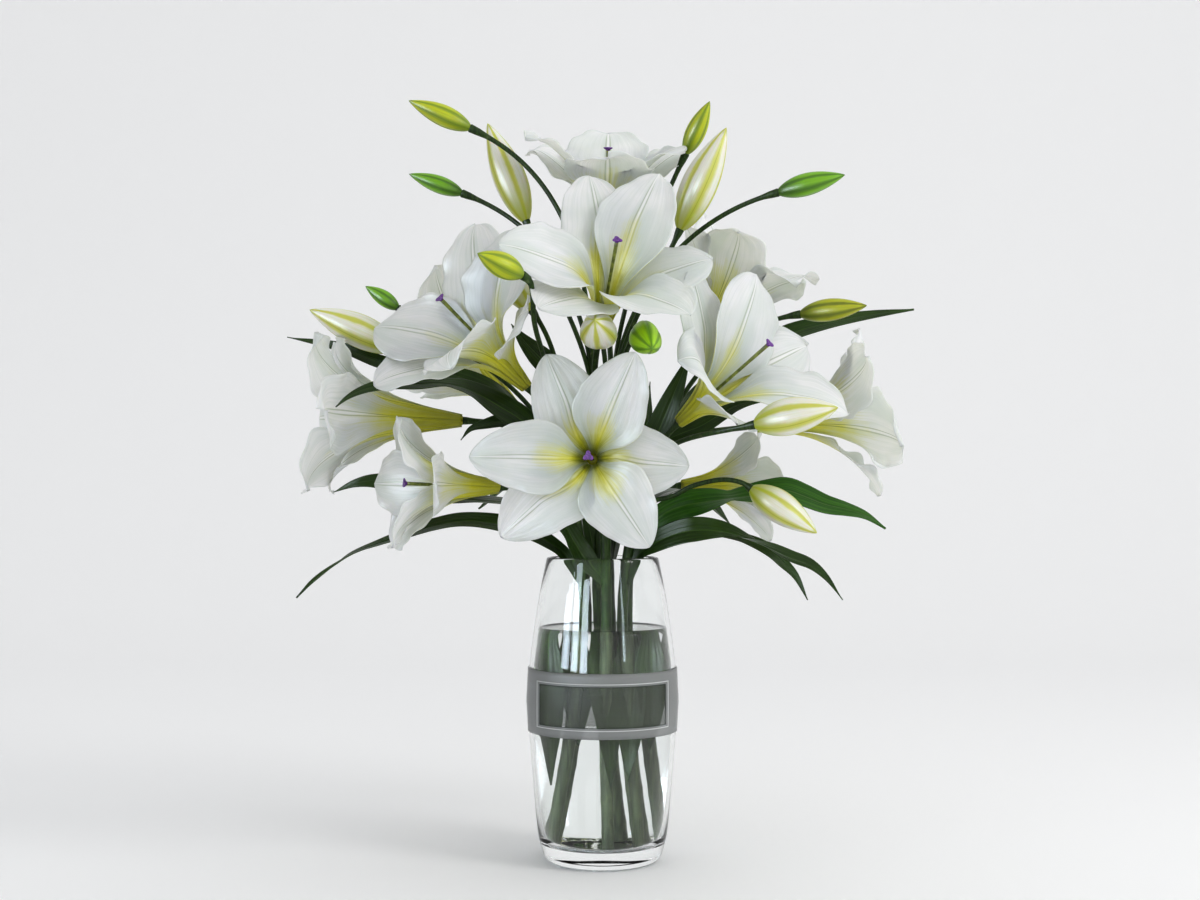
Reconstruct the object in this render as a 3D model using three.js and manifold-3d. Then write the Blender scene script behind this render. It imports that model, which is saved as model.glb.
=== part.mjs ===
// White lilies in a glass vase: the vase with its frosted band, the water, seven leafy stems,
// eleven open blooms with their styles and stigmas, and fifteen buds.  Millimetres, +Z up, -Y at
// the front.  The origin is on the surface that the vase stands on, under the middle of its foot.

import * as THREE from "three";
import { mergeVertices } from "three/addons/utils/BufferGeometryUtils.js";
import Module from "manifold-3d";

const wasm = await Module();
wasm.setup();

// ---------------------------------------------------------------- driving dimensions

const CLEARANCE = 0.3; // between two pieces that touch

// Vase: blown thick glass, a barrel with a flat foot.  Each pair is radius, height.
const VASE_SIDES = 28;
const VASE_OUTSIDE = [
  [0, 0], [43, 0], [49, 5], [53.5, 22], [57, 57], [60.5, 100],
  [62.3, 132], [61, 159], [57, 191], [52.5, 220], [46.6, 249],
];
const VASE_INSIDE = [
  [45, 250], [43.6, 248], [49.3, 220], [53.5, 191], [57.5, 159],
  [58.8, 132], [57, 100], [53.5, 57], [49.5, 27], [42, 14], [0, 14],
];
const FLOOR_OF_VASE = 14; // top of the thick glass bottom
const BAND_LOW = 107; // frosted band round the widest part
const BAND_HIGH = 159;
const BAND_THICKNESS = 0.8;
const WATER_LEVEL = 191;

// Blooms
const BLADE_THICKNESS = 0.8;
const THROAT_RADIUS = 4.2; // where the petals leave the receptacle
const LAYER_GAP = 6; // the outer petals lie this much behind the inner ones
const PETAL_STATIONS = [0, 0.18, 0.36, 0.6, 0.86, 1]; // shares of the petal's length, to its tip
const GROWN_TOGETHER = 2; // at the first stations the petals form one tube
const PETAL_COLUMNS = 4;
const SIXTH = Math.PI / 3;
const INNER_WRAP = 1; // radians that a petal reaches round the tube, each way
const OUTER_WRAP = 0.85;
const SLIT_WRAP = 0.5; // radians at the station where the petals part
const CLAW_WIDTH = 0.3; // of a petal at the throat, as a share of its half width
const CLAW_LENGTH = 0.4; // share of the petal's length over which it reaches its full width
const TIP_ROUNDNESS = 0.66; // power of the closing curve: 0.5 is an ellipse, 1 is a parabola
const THINNEST = 0.001; // half width at the tip
const LAYER_OPENING = 5; // degrees that the outer petals open beyond the inner ones
const MIDRIB_STEPS = 50;
const FLOOR_THICKNESS = 1;
const STYLE_RADIUS = 1.4;
const STYLE_SHARE = 0.66; // of the petals' length
const WIDEST = 0.6; // share of its length where a petal starts to close
const STIGMA_RADIUS = 3.4;
const STIGMA_HEIGHT = 3;

// Stems, leaves and buds
const STEM_RADIUS = 4.4;
const STALK_RADIUS = 2.3;
const STEM_SIDES = 8;
const STEM_STEPS = 8;
const STALK_SIDES = 5;
const STALK_STEPS = 5;
const FOOT_LIFT = 1; // the slanting cut end touches the floor at its edge
const HOLE_CLEARANCE = 0.6; // of the water round each stem
const STALK_RISE = 0.35; // how far a stalk keeps the shoot's direction, as a share of its span
const STALK_ARRIVAL = 0.4; // and how far it comes in along the flower's axis
const LEAF_THICKNESS = 0.8;
const LEAF_ROWS = 6;
const LONG_MIDRIB = 8; // a leaf with more points than this along its midrib gets twice the rows
const BUD_SIDES = 9;
const BUD_ROWS = [0, 0.1, 0.35, 0.65, 0.9];
const BUD_RIB = 0.08; // how far the three sepals stand out, as a share of the radius

const MATERIALS = {
  glass: new THREE.MeshStandardMaterial({ color: 0xdfe8e8, roughness: 0.05, metalness: 0 }),
  frosted: new THREE.MeshStandardMaterial({ color: 0xb4b8ba, roughness: 0.45, metalness: 0 }),
  water: new THREE.MeshStandardMaterial({ color: 0xd6e4e6, roughness: 0.02, metalness: 0 }),
  leaf: new THREE.MeshStandardMaterial({ color: 0x33462a, roughness: 0.45, metalness: 0 }),
  petal: new THREE.MeshStandardMaterial({ color: 0xeef0ea, roughness: 0.5, metalness: 0 }),
  style: new THREE.MeshStandardMaterial({ color: 0x8f9a3c, roughness: 0.5, metalness: 0 }),
  stigma: new THREE.MeshStandardMaterial({ color: 0x5b2f86, roughness: 0.6, metalness: 0 }),
  greenBud: new THREE.MeshStandardMaterial({ color: 0x9aa83e, roughness: 0.5, metalness: 0 }),
  whiteBud: new THREE.MeshStandardMaterial({ color: 0xdcdfc4, roughness: 0.5, metalness: 0 }),
};

// Every bloom: where its receptacle stands, the way it faces, the turn of its first petal round
// that axis, and the length, half width, opening and end curl of its petals.  The lists of six
// give what sets single petals apart: shares of the length and the half width, and degrees of
// turn round the axis, opening, end curl and roll about the midrib.  Petals 0, 2 and 4 are the
// inner ones.
const BLOOMS = [
  {
    name: "front", base: [-8, -95, 329], face: [-0.06, -0.99, 0.02], roll: 27,
    length: 112, width: 29, throat: 14, open: 88, curl: 8, bend: [0.1, 0.62],
    ruffle: 1, waves: 1.6, widest: 0.45, styleShare: 0.42,
    lengths: [0.95, 0.86, 0.9, 1.04, 1, 0.98], turns: [-3, 8, -1, 21, 3, 10],
  },
  {
    name: "crown", base: [-2, -75, 431], face: [0.15, -0.66, 0.74], roll: 38,
    length: 140, width: 34, throat: 12, open: 68, curl: 18, bend: [0.12, 0.7],
    ruffle: 1.5, waves: 1.6, widest: 0.55, styleShare: 0.6,
    lengths: [1.06, 0.86, 0.88, 0.87, 0.94, 1.08], widths: [0.92, 1, 1, 1, 1.05, 0.95],
    turns: [-9, -16, -8, 11, -12, 20], opens: [0, -2, 4, 2, 0, 0], tilts: [0, 0, 0, 0, 12, 0],
  },
  {
    name: "top", base: [3, 40, 510], face: [0.02, -0.27, 1], roll: 0,
    length: 134, width: 40, throat: 10, open: 50, curl: 50, bend: [0.15, 0.75],
    ruffle: 4, waves: 2.2,
    lengths: [1, 1, 0.93, 1, 1, 1], turns: [0, 4, -4, 0, 4, -4], tilts: [0, 0, -12, 0, 12, 0],
  },
  {
    name: "left_high", base: [-61, -70, 388], face: [-0.6, -0.52, 0.6], roll: 10,
    length: 142, width: 36, throat: 10, open: 58, curl: 30, bend: [0.15, 0.7],
    ruffle: 3, waves: 1.6, styleShare: 0.72,
    lengths: [0.93, 0.74, 0.97, 0.97, 0.98, 1.15], widths: [1, 0.85, 1, 1, 1, 0.95],
    turns: [4, 8, 10, 26, 10, 26], opens: [0, -10, -4, -4, 0, 3], curls: [0, 20, 45, 0, 0, 0],
    tilts: [-16, 0, 0, 0, 0, -4],
  },
  {
    name: "left_back", base: [-71, 60, 371], face: [-0.72, 0.12, 0.66], roll: 50,
    length: 155, width: 34, throat: 10, open: 46, curl: 25, bend: [0.2, 0.8],
    ruffle: 3, waves: 1.6,
    lengths: [1.02, 0.78, 0.82, 0.82, 1, 1], turns: [0, -4, 0, 0, 0, 0],
  },
  {
    name: "left_out", base: [-116, -20, 363], face: [-1, -0.1, 0.04], roll: 30,
    length: 152, width: 38, throat: 10, open: 46, curl: 60, bend: [0.3, 0.85],
    ruffle: 6, waves: 1.6,
  },
  {
    name: "left_low", base: [-83, -62, 308], face: [-0.93, -0.3, 0.03], roll: 30,
    length: 112, width: 29, throat: 10, open: 50, curl: 35, bend: [0.25, 0.85],
    ruffle: 3, waves: 1.6,
    lengths: [1, 0.85, 1, 1, 1, 1], curls: [0, 50, 0, 0, 0, 0],
  },
  {
    name: "right_high", base: [62, -60, 360], face: [0.62, -0.55, 0.54], roll: 30,
    length: 142, width: 35, throat: 10, open: 57, curl: 25, bend: [0.15, 0.7],
    ruffle: 2.5, waves: 1.6, styleShare: 0.72,
    lengths: [1, 1, 1, 0.65, 0.78, 0.98], turns: [0, -12, -16, -2, 5, 16],
    opens: [0, 0, -2, -14, 0, 0], curls: [0, 0, 15, 40, 80, 0], tilts: [-10, 0, 0, 0, 0, 0],
  },
  {
    name: "right_back", base: [77, 60, 424], face: [0.5, -0.15, 0.86], roll: 30,
    length: 138, width: 36, throat: 10, open: 44, curl: 50, bend: [0.2, 0.8],
    ruffle: 4, waves: 2,
    opens: [0, 0, -5, -5, 0, 0],
  },
  {
    name: "right_out", base: [132, 30, 361], face: [1, -0.15, 0.14], roll: 0,
    length: 146, width: 37, throat: 10, open: 49, curl: 50, bend: [0.2, 0.8],
    ruffle: 5, waves: 1.6,
    lengths: [0.88, 1, 1, 0.92, 1, 1], opens: [0, 0, -6, 0, -6, 0], curls: [0, 0, 0, -25, 0, 0],
  },
  {
    name: "right_low", base: [68, 40, 310], face: [0.97, 0.1, 0.05], roll: 20,
    length: 100, width: 28, throat: 10, open: 44, curl: 25, bend: [0.2, 0.8],
    ruffle: 2, waves: 1.6,
    lengths: [0.92, 1, 1, 1, 1, 0.88],
  },
];
const SIX_ZEROS = [0, 0, 0, 0, 0, 0];
const SIX_ONES = [1, 1, 1, 1, 1, 1];

// Every bud: its foot on the stalk, its tip, its greatest radius and its colour.
const BUDS = [
  { name: "bud_lime_left", base: [-110, -10, 608], tip: [-161, -20, 629], radius: 9.5, tint: "greenBud" },
  { name: "bud_green_left", base: [-120, 30, 561], tip: [-166, 25, 577], radius: 8, tint: "greenBud" },
  { name: "bud_white_left", base: [-65, 20, 535], tip: [-99, 30, 622], radius: 15, tint: "whiteBud" },
  { name: "bud_green_right", base: [70, 8, 590], tip: [90, -6, 632], radius: 9, tint: "greenBud" },
  { name: "bud_white_right", base: [64, -20, 521], tip: [102, -30, 604], radius: 16, tint: "whiteBud" },
  { name: "bud_green_far", base: [146, -10, 554], tip: [201, -20, 567], radius: 10, tint: "greenBud" },
  { name: "bud_olive_far", base: [164, -10, 452], tip: [217, -30, 457], radius: 10, tint: "greenBud" },
  { name: "bud_pale_upper", base: [114, -133, 354], tip: [175, -150, 366], radius: 15, tint: "whiteBud" },
  { name: "bud_pale_lower", base: [119, -50, 307], tip: [171, -60, 271], radius: 14, tint: "whiteBud",
    via: [[58, -27, 301], [71, -34, 308], [84, -40, 312], [98, -45, 314], [112, -48.6, 311.5]] },
  { name: "bud_white_out", base: [-171, 0, 424], tip: [-244, -10, 456], radius: 15, tint: "whiteBud" },
  { name: "bud_small_back", base: [-171, 0, 458], tip: [-199, 0, 477], radius: 7, tint: "greenBud" },
  { name: "bud_lime_mid", base: [-59, -161, 463], tip: [-91, -184, 476], radius: 10, tint: "greenBud",
    via: [[-44, -66, 400], [-52, -124, 432], [-54, -156, 459]] },
  { name: "bud_white_mid", base: [-57, -40, 451], tip: [-90, -32, 497], radius: 12, tint: "whiteBud" },
  { name: "bud_white_front", base: [-1, -95, 423], tip: [-6, -160, 430], radius: 15, tint: "whiteBud" },
  { name: "bud_green_front", base: [30, -80, 431], tip: [37, -140, 411], radius: 13, tint: "greenBud" },
];

// Every leafy stem: the points that its main shoot runs through, from its cut foot on the vase's
// floor up through the neck; the blooms and buds that it carries, each with the share of the
// shoot's height where its stalk leaves; and its leaves, each with the points along its midrib,
// its half width, its roll about the midrib at equal steps, and the depth of its fold.
const STEMS = [
  {
    name: "stem_left_front",
    shoot: [[-34, -6, 0], [-20, -12, 120], [-15, -15, 215], [-22, -24, 280], [-30, -30, 325]],
    blooms: { left_low: 0.82, left_high: 0.99 },
    buds: { bud_white_mid: 0.97, bud_lime_mid: 0.99 },
    leaves: [
      { midrib: [[-16, -17, 230], [-32, -14, 253], [-46, -23, 264], [-64, -33, 273],
        [-91, -40, 279], [-116, -40, 280], [-137, -39, 276], [-160, -38, 269], [-181, -37, 262],
        [-203, -38, 254], [-217, -41, 245], [-234, -46, 232], [-246, -50, 219]],
        width: 10, roll: [-80, -65, -40, -30, -3, 70], fold: 0.2 },
      { midrib: [[-31, -32, 332], [-45, -34, 354], [-61, -36, 363], [-79, -38, 362],
        [-94, -40, 359], [-107, -41, 355], [-115, -42, 346]],
        width: 8, roll: [-60, -55], fold: 0.25 },
      { midrib: [[-24, -26, 300], [-45, -38, 340], [-66, -46, 362], [-82, -52, 372],
        [-98, -56, 381], [-112, -60, 387], [-130, -62, 390], [-147, -66, 389], [-169, -71, 389],
        [-187, -78, 385], [-200, -85, 378], [-208, -92, 370]],
        width: 12, roll: [-80, -80, -72, -20, -45, -75], fold: 0.2 },
    ],
  },
  {
    name: "stem_left_back",
    shoot: [[-26, 22, 0], [-16, 12, 120], [-14, 5, 215], [-24, 8, 290], [-38, 14, 335]],
    blooms: { left_out: 0.97, left_back: 0.98 },
    buds: { bud_white_out: 0.99, bud_small_back: 0.99 },
    leaves: [
      { midrib: [[-37, 14, 332], [-66, 4, 362], [-95, -2, 388], [-130, -6, 404], [-158, -8, 410]],
        width: 13, roll: [-40, -60], fold: 0.2 },
      { midrib: [[-20, 7, 268], [-60, 16, 290], [-122, 30, 298], [-160, 40, 306], [-195, 45, 314],
        [-214, 46, 312], [-234, 49, 304]],
        width: 14, roll: [-30, -10, -15, -45, -75, -80], fold: 0.2 },
      { midrib: [[-112, 6, 396], [-148, 8, 406], [-185, 13, 413], [-222, 18, 427], [-268, 18, 436]],
        width: 7, roll: [-60, -60], fold: 0.2 },
      { midrib: [[-22, 8, 280], [-50, 46, 306], [-82, 84, 310], [-112, 112, 290]],
        width: 12, roll: [0, 0], fold: 0.25 },
    ],
  },
  {
    name: "stem_front",
    shoot: [[4, -34, 0], [2, -20, 120], [3, -19, 215], [2, -24, 290], [4, -26, 350]],
    blooms: { front: 0.85 },
    buds: { bud_white_front: 0.98, bud_green_front: 0.99 },
    leaves: [
      { midrib: [[2, -20, 230], [-8, -24, 241], [-17, -27, 253], [-25, -33, 266], [-33, -41, 280],
        [-46, -49, 292], [-66, -56, 298]], width: 11, roll: [-85, -80, -70], fold: 0.2 },
    ],
  },
  {
    name: "stem_crown",
    shoot: [[8, 37, 0], [2, 22, 120], [-4, 2, 215], [-4, -2, 300], [-6, -4, 370]],
    blooms: { crown: 0.98 },
    buds: { bud_white_left: 0.98, bud_lime_left: 0.99, bud_green_left: 0.99 },
    leaves: [
      { midrib: [[-6, -4, 364], [-28, -20, 394], [-47, -27, 410], [-57, -28, 420], [-66, -28, 430],
        [-75, -28, 442]], width: 13, roll: [-70, -80], fold: 0.2 },
      { midrib: [[-5, -3, 350], [8, -12, 385], [16, -16, 405], [22, -20, 428]],
        width: 6, roll: [60, 60], fold: 0.2 },
      { midrib: [[-4, 1, 228], [-8, -5, 254], [-12, -8, 280], [-18, -11, 306]],
        width: 9, roll: [-85, -80], fold: 0.2 },
    ],
  },
  {
    name: "stem_top",
    shoot: [[20, 24, 0], [13, 19, 120], [6, 16, 215], [6, 18, 300], [8, 22, 380]],
    blooms: { top: 0.99 },
    buds: { bud_white_right: 0.98, bud_green_right: 0.99, bud_green_far: 0.99 },
    leaves: [
      { midrib: [[6, 18, 300], [8, 60, 340], [4, 100, 352], [-2, 135, 335]],
        width: 12, roll: [0, 0], fold: 0.25 },
      { midrib: [[7, 20, 345], [-14, 58, 384], [-34, 92, 404], [-52, 122, 398]],
        width: 11, roll: [0, 0], fold: 0.25 },
      { midrib: [[6, 16, 228], [10, 5, 252], [14, 0, 280], [17, -4, 304]],
        width: 8, roll: [85, 80], fold: 0.2 },
    ],
  },
  {
    name: "stem_right_front",
    shoot: [[26, -22, 0], [18, -14, 120], [17, -8, 215], [26, -16, 280], [36, -22, 315]],
    blooms: { right_high: 0.97 },
    buds: { bud_pale_lower: 0.93, bud_pale_upper: 0.95, bud_olive_far: 0.99 },
    leaves: [
      { midrib: [[19, -11, 228], [31, -17, 254], [44, -30, 263], [60, -40, 270], [76, -48, 273],
        [96, -52, 272], [114, -55, 267], [132, -57, 260], [150, -58, 252], [166, -59, 246],
        [178, -60, 236], [191, -62, 218]], width: 11, roll: [85, 75, 62, 5, -50, -60], fold: 0.2 },
      { midrib: [[19, -9, 236], [36, -12, 256], [58, -22, 266], [79, -30, 270], [112, -36, 266],
        [136, -40, 256], [147, -42, 246], [156, -44, 236], [165, -47, 217]],
        width: 9, roll: [20, 10, 10, 30, 80, 80], fold: 0.2 },
      { midrib: [[25, -15, 266], [41, -17, 279], [54, -19, 288], [68, -20, 293], [80, -20, 295],
        [93, -20, 297], [118, -20, 300], [136, -20, 303], [152, -20, 305], [165, -20, 301],
        [183, -20, 294], [200, -20, 290], [216, -20, 285], [233, -20, 274]],
        width: 14, roll: [80, 78, 12, 65, 80, 60], fold: 0.2 },
      { midrib: [[36, -22, 315], [43, -20, 335], [52, -19, 346], [64, -18, 352], [80, -18, 358],
        [97, -17, 368], [109, -16, 375], [130, -15, 381], [155, -13, 382], [170, -12, 380]],
        width: 9, roll: [75, 65, 50, 40], fold: 0.2 },
      { midrib: [[33, -20, 303], [38, -27, 325], [43, -31, 346], [50, -32, 364], [57, -32, 381],
        [64, -31, 398], [72, -30, 418]], width: 11, roll: [85, 80], fold: 0.2 },
    ],
  },
  {
    name: "stem_right_back",
    shoot: [[36, 6, 0], [26, 8, 120], [21, 9, 215], [30, 18, 290], [42, 28, 340]],
    blooms: { right_low: 0.88, right_out: 0.95, right_back: 0.98 },
    buds: {},
    leaves: [
      { midrib: [[41, 27, 337], [85, 66, 385], [130, 70, 420], [160, 62, 441], [195, 58, 452],
        [232, 56, 459], [272, 54, 464]], width: 13, roll: [50, 60], fold: 0.2 },
      { midrib: [[33, 20, 318], [36, 10, 350], [38, 6, 375], [40, 4, 397]],
        width: 8, roll: [10, 0], fold: 0.2 },
      { midrib: [[29, 17, 285], [58, 58, 304], [88, 88, 300], [118, 116, 274]],
        width: 12, roll: [0, 0], fold: 0.25 },
    ],
  },
];

// ---------------------------------------------------------------- solids

// A closed geometry as a solid that can be joined and cut, with its faces turned outwards.
function solidOf(geometry) {
  const bare = geometry.clone();
  bare.deleteAttribute("normal");
  bare.deleteAttribute("uv");
  const merged = mergeVertices(bare, 1e-4);
  const vertProperties = new Float32Array(merged.attributes.position.array);
  const corner = (index) => new THREE.Vector3().fromArray(vertProperties, 3 * index);
  const triangles = [];
  let volume = 0;
  for (let i = 0; i < merged.index.count; i += 3) {
    const [a, b, c] = [0, 1, 2].map((k) => merged.index.getX(i + k));
    if (a === b || b === c || c === a) continue;
    triangles.push([a, b, c]);
    volume += corner(a).dot(corner(b).cross(corner(c)));
  }
  const outward = volume > 0 ? triangles : triangles.map(([a, b, c]) => [a, c, b]);
  const triVerts = new Uint32Array(outward.flat());
  return new wasm.Manifold(new wasm.Mesh({ numProp: 3, vertProperties, triVerts }));
}

// Several solids as one body: what the joining seals inside is filled, and scraps are dropped.
function join(solids) {
  const whole = solids.reduce((sum, next) => sum.add(next));
  return whole.decompose().reduce((best, next) => (next.volume() > best.volume() ? next : best));
}

function piece(name, solid, material) {
  const { vertProperties, triVerts, numProp } = solid.getMesh();
  const geometry = new THREE.BufferGeometry();
  geometry.setAttribute("position", new THREE.BufferAttribute(vertProperties, numProp));
  geometry.setIndex(new THREE.BufferAttribute(triVerts, 1));
  geometry.computeVertexNormals();
  const mesh = new THREE.Mesh(geometry, MATERIALS[material]);
  mesh.name = name;
  return mesh;
}

// A solid from a list of triangles, each three points.
function solidFrom(triangles) {
  return solidOf(new THREE.BufferGeometry().setFromPoints(triangles.flat()));
}

// A solid of revolution about Z; the profile starts and ends on the axis or closes on itself.
function turned(profile) {
  const points = profile.map(([radius, height]) => new THREE.Vector2(radius, height));
  return solidOf(new THREE.LatheGeometry(points, VASE_SIDES).rotateX(Math.PI / 2));
}

// A round tube along a curve.
function tube(curve, radius, sides, steps) {
  const section = new THREE.Shape();
  for (let i = 0; i < sides; i += 1) {
    const angle = (2 * Math.PI * i) / sides;
    section[i === 0 ? "moveTo" : "lineTo"](radius * Math.cos(angle), radius * Math.sin(angle));
  }
  section.closePath();
  return solidOf(new THREE.ExtrudeGeometry(section, { steps, extrudePath: curve }));
}

// The two faces of a thin blade.  The rows of points lie one after another along it, and the
// last one is the tip, all at one point.  The thickness goes half to each side.
function thicken(rows, thickness) {
  const last = rows.length - 1;
  const columns = rows[0].length - 1;
  const shifted = (offset) => rows.map((row, i) => row.map((point, column) => {
    const j = i === last ? columns / 2 : column;
    const along = rows[Math.min(i + 1, last)][j].clone().sub(rows[Math.max(i - 1, 0)][j]);
    const across = rows[Math.min(i, last - 1)];
    const wide = across[Math.min(j + 1, columns)].clone().sub(across[Math.max(j - 1, 0)]);
    return point.clone().addScaledVector(along.cross(wide).normalize(), offset);
  }));
  return { front: shifted(thickness / 2), back: shifted(-thickness / 2) };
}

const quad = (a, b, c, d) => [[a, b, c], [a, c, d]];

// The blade's triangles, alike on both faces, with its rims from one row on.
function bladeTriangles({ front, back }, firstRimRow) {
  const triangles = [];
  const right = front[0].length - 1;
  for (let i = 0; i < front.length - 1; i += 1) {
    for (let j = 0; j < right; j += 1) {
      triangles.push([front[i][j], front[i][j + 1], front[i + 1][j + 1]]);
      triangles.push([front[i][j], front[i + 1][j + 1], front[i + 1][j]]);
      triangles.push([back[i][j], back[i + 1][j + 1], back[i][j + 1]]);
      triangles.push([back[i][j], back[i + 1][j], back[i + 1][j + 1]]);
    }
    if (i < firstRimRow) continue;
    triangles.push(...quad(front[i][0], front[i + 1][0], back[i + 1][0], back[i][0]));
    triangles.push(...quad(back[i][right], back[i + 1][right], front[i + 1][right], front[i][right]));
  }
  return triangles;
}

// Smooth step from 0 to 1.
function ease(x) {
  const clamped = Math.min(Math.max(x, 0), 1);
  return clamped * clamped * (3 - 2 * clamped);
}

// The smaller of two lengths, with a soft change from one to the other.
function softMinimum(a, b) {
  return (a ** -4 + b ** -4) ** -0.25;
}

const vector = (list) => new THREE.Vector3(...list);

// ---------------------------------------------------------------- blooms

// The bloom's own frame: its axis, a direction square to it that points up, and the third.
function bloomFrame(bloom) {
  const axis = vector(bloom.face).normalize();
  const lift = Math.abs(axis.z) < 0.95 ? vector([0, 0, 1]) : vector([0, 1, 0]);
  const up = lift.addScaledVector(axis, -lift.dot(axis)).normalize();
  return { base: vector(bloom.base), axis, up, side: new THREE.Vector3().crossVectors(up, axis) };
}

// The rows of one petal.  Its midrib leaves the throat nearly along the axis and bends outwards.
// Low down the petal wraps round the throat, and further out it flattens, widens and ruffles.
function petalRows(bloom, k) {
  const inner = k % 2 === 0;
  const length = bloom.length * (bloom.lengths ?? SIX_ONES)[k] * (inner ? 1 : 0.97);
  const halfWidth = bloom.width * (bloom.widths ?? SIX_ONES)[k];
  const open = bloom.open + (inner ? 0 : LAYER_OPENING) + (bloom.opens ?? SIX_ZEROS)[k];
  const curl = bloom.curl + (bloom.curls ?? SIX_ZEROS)[k];
  const widest = bloom.widest ?? WIDEST;
  const { base, axis, up, side } = bloomFrame(bloom);
  const [bendStart, bendEnd] = bloom.bend;
  const slopeAt = (s) => {
    const bent = bloom.throat + (open - bloom.throat) * ease((s - bendStart) / (bendEnd - bendStart));
    return THREE.MathUtils.degToRad(bent + curl * Math.max((s - 0.72) / 0.28, 0) ** 2);
  };
  const midrib = [{ radius: THROAT_RADIUS, height: 0, slope: slopeAt(0) }];
  for (let i = 1; i <= MIDRIB_STEPS; i += 1) {
    const before = midrib[i - 1];
    const slope = slopeAt(i / MIDRIB_STEPS);
    const halfStep = length / MIDRIB_STEPS / 2;
    const radius = before.radius + halfStep * (Math.sin(before.slope) + Math.sin(slope));
    const height = before.height + halfStep * (Math.cos(before.slope) + Math.cos(slope));
    midrib.push({ radius, height, slope });
  }
  const rowAt = (s, station) => {
    const { radius, height, slope } = midrib[Math.round(s * MIDRIB_STEPS)];
    const sway = (bloom.turns ?? SIX_ZEROS)[k] * ease((s - 0.2) / 0.45);
    const turn = THREE.MathUtils.degToRad(bloom.roll + 60 * k + sway);
    const outward = up.clone().multiplyScalar(Math.cos(turn)).addScaledVector(side, Math.sin(turn));
    const across = up.clone().multiplyScalar(-Math.sin(turn)).addScaledVector(side, Math.cos(turn));
    const claw = CLAW_WIDTH + (1 - CLAW_WIDTH) * ease(s / CLAW_LENGTH);
    const closing = Math.max((s - widest) / (1 - widest), 0);
    const blade = halfWidth * claw * Math.max(1 - closing ** 2, 0) ** TIP_ROUNDNESS;
    const roundTube = radius / Math.max(Math.cos(slope), 0.2);
    const wrap = (inner ? INNER_WRAP : OUTER_WRAP) * roundTube;
    const seamed = [0.5 * SIXTH * roundTube, 0.5 * SIXTH * roundTube, SLIT_WRAP * radius];
    const reach = seamed[station] ?? softMinimum(Math.max(blade, THINNEST), wrap);
    const flat = ease((s - (inner ? 0.45 : 0.3)) / 0.4);
    const bow = (1 - flat) / roundTube + 0.004 * flat;
    const behind = inner ? 0 : LAYER_GAP * ease((s - 0.15) / 0.4);
    const roll = THREE.MathUtils.degToRad((bloom.tilts ?? SIX_ZEROS)[k] * ease((s - 0.3) / 0.5));
    return Array.from({ length: PETAL_COLUMNS + 1 }, (_, j) => {
      const t = (2 * j) / PETAL_COLUMNS - 1;
      const phase = 1.7 * k + (t < 0 ? 1.9 : 0);
      const wave = Math.sin(2 * Math.PI * bloom.waves * s + phase) * ease((s - 0.45) / 0.35);
      const angle = bow * t * reach;
      const dished = (1 - Math.cos(angle)) / bow + bloom.ruffle * Math.abs(t) ** 2.2 * wave - behind;
      const aside = Math.sin(angle) / bow;
      const inwards = dished * Math.cos(roll) + aside * Math.sin(roll);
      return base.clone()
        .addScaledVector(outward, radius - inwards * Math.cos(slope))
        .addScaledVector(axis, height + inwards * Math.sin(slope))
        .addScaledVector(across, aside * Math.cos(roll) - dished * Math.sin(roll));
    });
  };
  const rows = PETAL_STATIONS.map(rowAt);
  rows[rows.length - 1].fill(rows.at(-1)[PETAL_COLUMNS / 2]);
  return rows;
}

// A whole bloom: six petals that start as one tube with a solid floor.
function bloomSolid(bloom) {
  const sheets = Array.from({ length: 6 }, (_, k) => thicken(petalRows(bloom, k), BLADE_THICKNESS));
  for (let k = 0; k < 6; k += 1) {
    const next = sheets[(k + 1) % 6];
    for (let i = 0; i < GROWN_TOGETHER; i += 1) {
      for (const face of ["front", "back"]) {
        const seam = sheets[k][face][i][PETAL_COLUMNS].clone().lerp(next[face][i][0], 0.5);
        sheets[k][face][i][PETAL_COLUMNS] = seam;
        next[face][i][0] = seam;
      }
    }
  }
  const triangles = sheets.flatMap((sheet) => bladeTriangles(sheet, GROWN_TOGETHER - 1));
  for (const { front, back } of sheets) {
    for (let j = 0; j < PETAL_COLUMNS; j += 1) {
      triangles.push([onAxis(bloom, 0), back[0][j], back[0][j + 1]]);
      triangles.push([onAxis(bloom, -FLOOR_THICKNESS), front[0][j + 1], front[0][j]]);
    }
  }
  return solidFrom(triangles);
}

// A point on the bloom's axis, at a height above its receptacle.
function onAxis(bloom, height) {
  const { base, axis } = bloomFrame(bloom);
  return base.addScaledVector(axis, height);
}

// A straight prism round the bloom's axis, narrower or wider at its far end.
function axialCone(bloom, low, high, lowRadius, highRadius, sides) {
  const { axis } = bloomFrame(bloom);
  const cone = new THREE.CylinderGeometry(highRadius, lowRadius, high - low, sides);
  cone.applyQuaternion(new THREE.Quaternion().setFromUnitVectors(vector([0, 1, 0]), axis));
  const middle = onAxis(bloom, (low + high) / 2);
  return solidOf(cone.translate(middle.x, middle.y, middle.z));
}

function makeBloom(bloom) {
  const styleTop = bloom.length * (bloom.styleShare ?? STYLE_SHARE);
  const style = axialCone(bloom, CLEARANCE, styleTop, STYLE_RADIUS, STYLE_RADIUS, 6);
  const stigmaFoot = styleTop + CLEARANCE;
  const stigma = axialCone(bloom, stigmaFoot, stigmaFoot + STIGMA_HEIGHT, 2, STIGMA_RADIUS, 6);
  return [
    piece(`bloom_${bloom.name}`, bloomSolid(bloom), "petal"),
    piece(`style_${bloom.name}`, style, "style"),
    piece(`stigma_${bloom.name}`, stigma, "stigma"),
  ];
}

// ---------------------------------------------------------------- buds

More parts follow.
